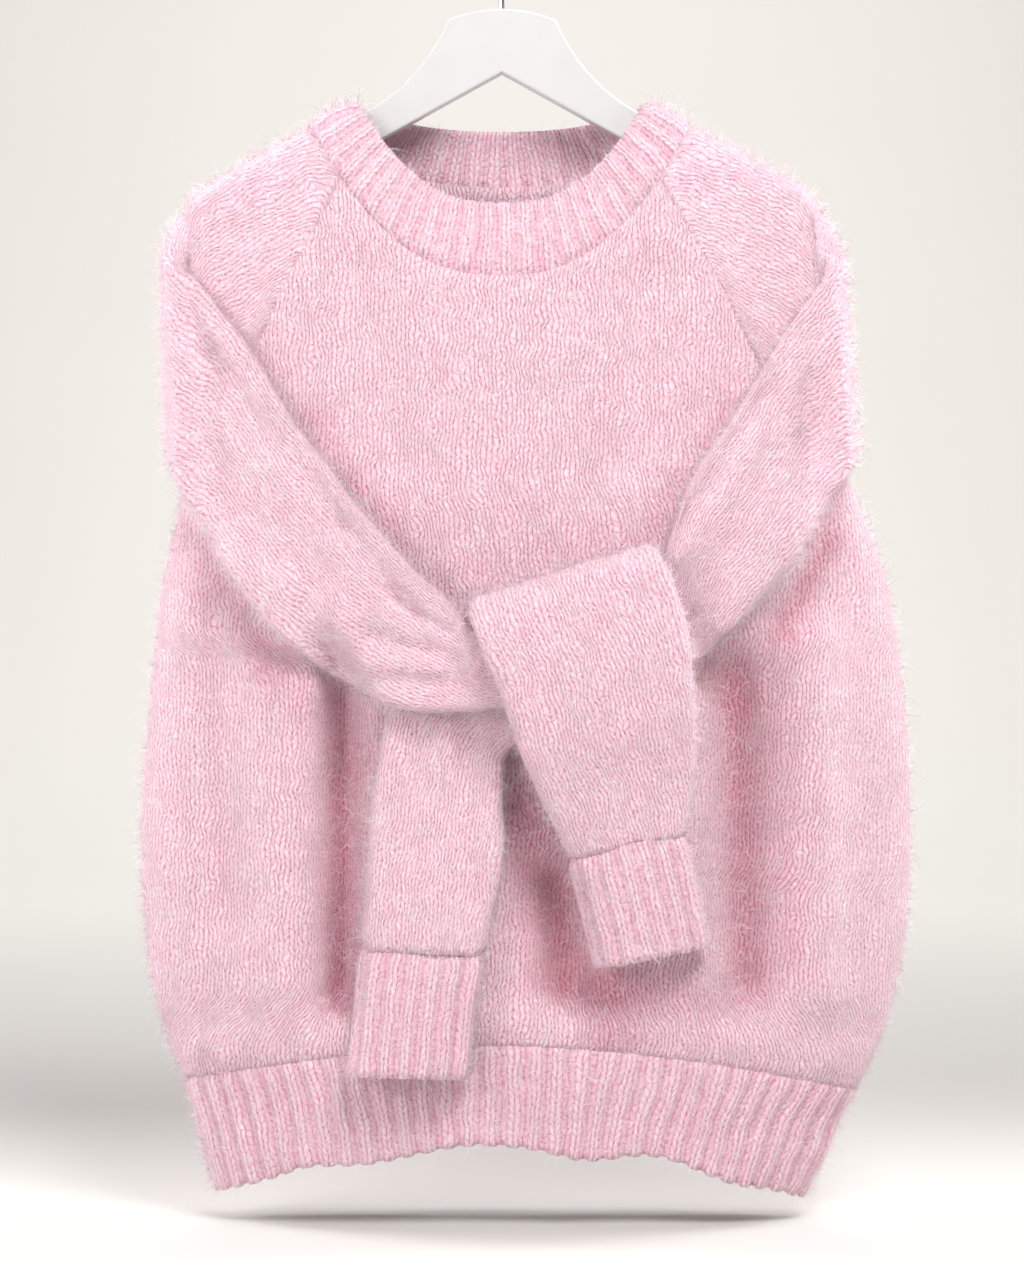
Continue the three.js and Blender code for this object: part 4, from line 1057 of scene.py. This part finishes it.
def long_wisps(cloth, count, segments=3):
    places, out, first, second = roots(cloth, count)
    length = chance.uniform(7, 17, (count, 1)) / segments
    lean = chance.uniform(0.25, 1.25, (count, 1))
    fall = chance.uniform(0.1, 0.7, (count, 1))
    turn = chance.uniform(-1.1, 1.1, (count, 1))
    facing = unit(chance.normal(size=(count, 3)) + out)
    at, points = places, []
    for k in range(segments + 1):
        heading = first * np.cos(turn * k) + second * np.sin(turn * k)
        direction = heading * np.sin(lean + fall * k) + out * np.cos(lean + fall * k)
        half = unit(np.cross(direction, facing)) * WISP_WIDTH / 2 * (1 - 0.7 * k / segments)
        points += [at - half, at + half] if k < segments else [at]
        at = at + direction * length
    points = np.stack(points, 1)
    stride = points.shape[1]
    pattern = []
    for k in range(segments - 1):
        pattern += [(2 * k, 2 * k + 1, 2 * k + 3), (2 * k, 2 * k + 3, 2 * k + 2)]
    pattern.append((stride - 3, stride - 2, stride - 1))
    faces = (np.arange(count)[:, None, None] * stride + np.array(pattern)).reshape(-1, 3)
    return points.reshape(-1, 3), faces, np.repeat(out, stride, axis=0)


# %% Making the fluff
REACH = ((-256, -114, -853.5), (285, 70.5, 0))
HAIR_TONES = [colour(255, 246, 250), colour(252, 224, 235), colour(243, 200, 217)]


def hair_finish(index, tone):
    finish = Finish(f"mohair fibre {index + 1}")
    finish.set(Base_Color=tone, Roughness=0.6, Sheen_Weight=0.4, Sheen_Roughness=0.4,
               Specular_IOR_Level=0.3)
    return finish.material


hair_finishes = [hair_finish(i, tone) for i, tone in enumerate(HAIR_TONES)]


def fluff(name, cloth, shorts, longs):
    short_points, short_faces, short_out = short_hairs(cloth, shorts)
    long_points, long_faces, long_out = long_wisps(cloth, longs)
    points = np.clip(np.concatenate([short_points, long_points]), *REACH) * MM
    faces = np.concatenate([short_faces, long_faces + len(short_points)])
    out = np.concatenate([short_out, long_out])
    a, b, c = points[faces[:, 0]], points[faces[:, 1]], points[faces[:, 2]]
    turned = np.einsum("ij,ij->i", np.cross(b - a, c - a), out[faces[:, 0]]) < 0
    faces[turned] = faces[turned, ::-1]
    tones = np.concatenate([chance.integers(1, 3, shorts), np.repeat(chance.integers(0, 2, longs), 5)])
    mesh = new_mesh(name, points, faces)
    for material in hair_finishes:
        mesh.materials.append(material)
    mesh.polygons.foreach_set("material_index", tones.astype(np.int32))
    mesh.update(calc_edges=True)
    mesh.shade_smooth()
    mesh.normals_split_custom_set_from_vertices(out.astype(np.float32).tolist())
    piece = new_piece(mesh)
    piece.visible_shadow = False
    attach(piece, "root")
    print(name, len(faces), "triangles")
    return piece


collar_inside = Cloth(neckband.piece, neckband.inner, neckband.outer, True)
HAIRS = [
    ("body_front", body_front, 50000, 15500), ("body_back", body_back, 42000, 10500),
    ("hem_front", hem_front, 13000, 4200), ("hem_back", hem_back, 10000, 3000),
    ("neckband", neckband, 11000, 3600), ("collar_inside", collar_inside, 4500, 1600),
    ("sleeve_right", sleeve_right, 43000, 12500), ("sleeve_left", sleeve_left, 45000, 13500),
    ("sleeve_end", sleeve_end, 12000, 4000), ("cuff_right", cuff_right, 4000, 1500),
    ("cuff_left", cuff_left, 4000, 1500),
]
fluffs = {key: fluff("fluff_" + key, cloth, shorts, longs) for key, cloth, shorts, longs in HAIRS}

# %% [markdown]
# ## The hanger
# The hanger is a flat board under white satin lacquer, with a steel hook screwed into it. Their shapes
# come from the frame and stay; they get their finishes here. Lacquer is never quite even: a faint waviness
# and a slight change of gloss are enough to tell it from plain plastic.

# %% Hanger finishes
lacquer = Finish("white satin lacquer")
board_places = lacquer.node("TexCoord", output=3)
waviness = lacquer.noise(board_places, 55, 2)
speck = lacquer.noise(board_places, 1400, 2)
lacquer.set(Base_Color=lacquer.mix(waviness, colour(213, 213, 214), colour(219, 219, 219)),
            Roughness=waviness * 0.14 + 0.3,
            Normal=lacquer.node("Bump", Height=waviness + speck * 0.05, Distance=0.0006, Strength=0.25),
            Coat_Weight=0.25, Coat_Roughness=0.2)
steel = Finish("polished steel")
steel_places = steel.node("TexCoord", output=3)
steel.set(Base_Color=colour(196, 198, 202), Metallic=1.0,
          Roughness=steel.noise(steel_places, 300, 3) * 0.12 + 0.16)
for key, finish, slot in (("hanger_bar", lacquer, "lacquered_wood"),
                          ("hanger_hook", steel, "hook_steel")):
    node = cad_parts[key]
    node.data.materials.clear()
    node.data.materials.append(finish.material)

# %% [markdown]
# ## Which solid each piece stands for
# Every cloth piece stands for the plain solid of the frame in the same place: it rides on the body "root",
# and that solid is hidden. Each row of the table gives the piece, that solid, the slot of its finish, the
# size it was cut to before it was hung (for a sleeve or the neckband the width all round and the length),
# its area where known, the frame parts it rests on, and its fluff.

# %% Riding and replacing
CUTS = [
    (body_front, "body_front", "mohair", (0.52, 0.54), 0.247, ("hanger_bar",), ("body_front",)),
    (body_back, "body_back", "mohair", (0.52, 0.58), 0.262, ("hanger_bar",), ("body_back",)),
    (hem_front, "hem_front", "mohair_rib", (0.46, 0.072), None, (), ("hem_front",)),
    (hem_back, "hem_back", "mohair_rib", (0.46, 0.072), None, (), ("hem_back",)),
    (neckband, "neckband", "mohair_rib", (0.56, 0.046), None, ("hanger_bar",),
     ("neckband", "collar_inside")),
    (sleeve_right, "sleeve_right", "mohair", (0.35, 0.42), 0.1, ("hanger_bar",), ("sleeve_right",)),
    (sleeve_left, "sleeve_left", "mohair", (0.35, 0.54), 0.122, ("hanger_bar",), ("sleeve_left",)),
    (sleeve_end, "sleeve_right_end", "mohair", (0.27, 0.21), None, (), ("sleeve_end",)),
    (cuff_right, "cuff_right", "mohair_rib", (0.165, 0.075), None, (), ("cuff_right",)),
    (cuff_left, "cuff_left", "mohair_rib", (0.17, 0.08), None, (), ("cuff_left",)),
]
for cloth, node, slot, flat, area, rests_on, hairs in CUTS:
    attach(cloth.piece, "root")
    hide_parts(node)

# %% [markdown]
# ## Stage, light and camera
# A pale floor of paper runs far back behind the garment and then curves up, so there is no horizon, and it
# is far enough off that the back can be looked at too. A large soft light stands high in front on the
# right, and a broad weak one fills from the left. A long lamp behind lights the paper, and two narrow ones
# at the sides light the fluff at the edges. The camera is level, far off, with a long lens, as for a
# catalogue picture.

# %% Paper sweep
FLOOR, WALL_AT, WALL_TOP, BEND, HALF_PAPER = -0.86, 5.2, 3.4, 2.2, 4.5
run = [(-HALF_PAPER, FLOOR), (WALL_AT - BEND, FLOOR)]
run += [(WALL_AT - BEND + BEND * math.sin(a), FLOOR + BEND - BEND * math.cos(a))
        for a in np.linspace(0, math.pi / 2, 25)[1:]]
run.append((WALL_AT, WALL_TOP))
bpy.ops.mesh.primitive_grid_add(x_subdivisions=1, y_subdivisions=len(run) - 1, size=1)
sweep = bpy.context.object
sweep.name = "paper_sweep"
rows_of_points = sorted(sweep.data.vertices, key=lambda vertex: (round(vertex.co.y, 4), vertex.co.x))
for index, vertex in enumerate(rows_of_points):
    y, z = run[index // 2]
    vertex.co = ((-HALF_PAPER, HALF_PAPER)[index % 2], y, z)
sweep.data.shade_smooth()
paper = Finish("warm white paper")
paper_places = paper.node("TexCoord", output=3)
up_the_wall = paper.ramp(paper.split(paper_places)[2], FLOOR - 0.05, FLOOR + 0.3)
paper_tone = paper.mix(up_the_wall, colour(226, 226, 222), colour(228, 227, 223))
paper.set(Base_Color=paper.mix(paper.noise(paper_places, 3, 2) * 0.1, paper_tone, colour(200, 198, 194)),
          Roughness=0.95, Specular_IOR_Level=0.1)
sweep.data.materials.append(paper.material)
sweep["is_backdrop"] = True
bpy.ops.object.select_all(action="DESELECT")

# %% Lights and world


def soft_light(name, place, aim, width, height, power, tint=(1, 1, 1), spread=math.pi):
    data = bpy.data.lights.new(name, "AREA")
    data.spread = spread
    data.shape, data.size, data.size_y, data.energy, data.color = "RECTANGLE", width, height, power, tint
    lamp = bpy.data.objects.new(name, data)
    lamp.location = place
    direction = np.array(aim) - np.array(place)
    from_above = math.acos(-direction[2] / np.linalg.norm(direction))
    lamp.rotation_euler = (from_above, 0, math.atan2(direction[1], direction[0]) - math.pi / 2)
    bpy.context.scene.collection.objects.link(lamp)


soft_light("key", (0.68, -1.45, 1.25), (0, 0, -0.45), 1.1, 0.9, 44, (1, 1, 0.985))
soft_light("fill", (-1.5, -1.5, 0.2), (0, 0, -0.6), 1.0, 1.0, 19, (1, 0.97, 0.98))
soft_light("backdrop", (0, 2.3, 2.2), (0, 4.2, -0.4), 3.0, 0.5, 98, (1, 0.99, 0.97))
for name, way in (("rim", 1), ("rim_left", -1)):
    soft_light(name, (1.1 * way, 0.3, 0.1), (0.15 * way, -0.15, -0.4), 0.4, 1.1, 3, spread=1.2)
world = bpy.data.worlds.new("soft room")
world.use_nodes = True
glow = world.node_tree.nodes["Background"]
glow.inputs["Color"].default_value = (1, 0.87, 0.9, 1)
glow.inputs["Strength"].default_value = 0.22
bpy.context.scene.world = world
bpy.context.scene.view_settings.view_transform = "Standard"

# %% Camera
camera_data = bpy.data.cameras.new("camera")
camera_data.lens = 95.2
camera_data.sensor_width = 36
camera = bpy.data.objects.new("camera", camera_data)
camera.location = (0.0065, -2.2, -0.4845)
camera.rotation_euler = (math.pi / 2, 0, 0)
bpy.context.scene.collection.objects.link(camera)
bpy.context.scene.camera = camera

# %% Size of the finished model beside the frame's
visual_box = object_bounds()
for axis, low, high, cad_low, cad_high in zip("xyz", *visual_box, *cad_box):
    print(axis, "visual", round(low, 4), round(high, 4), "frame", round(cad_low, 4), round(cad_high, 4))
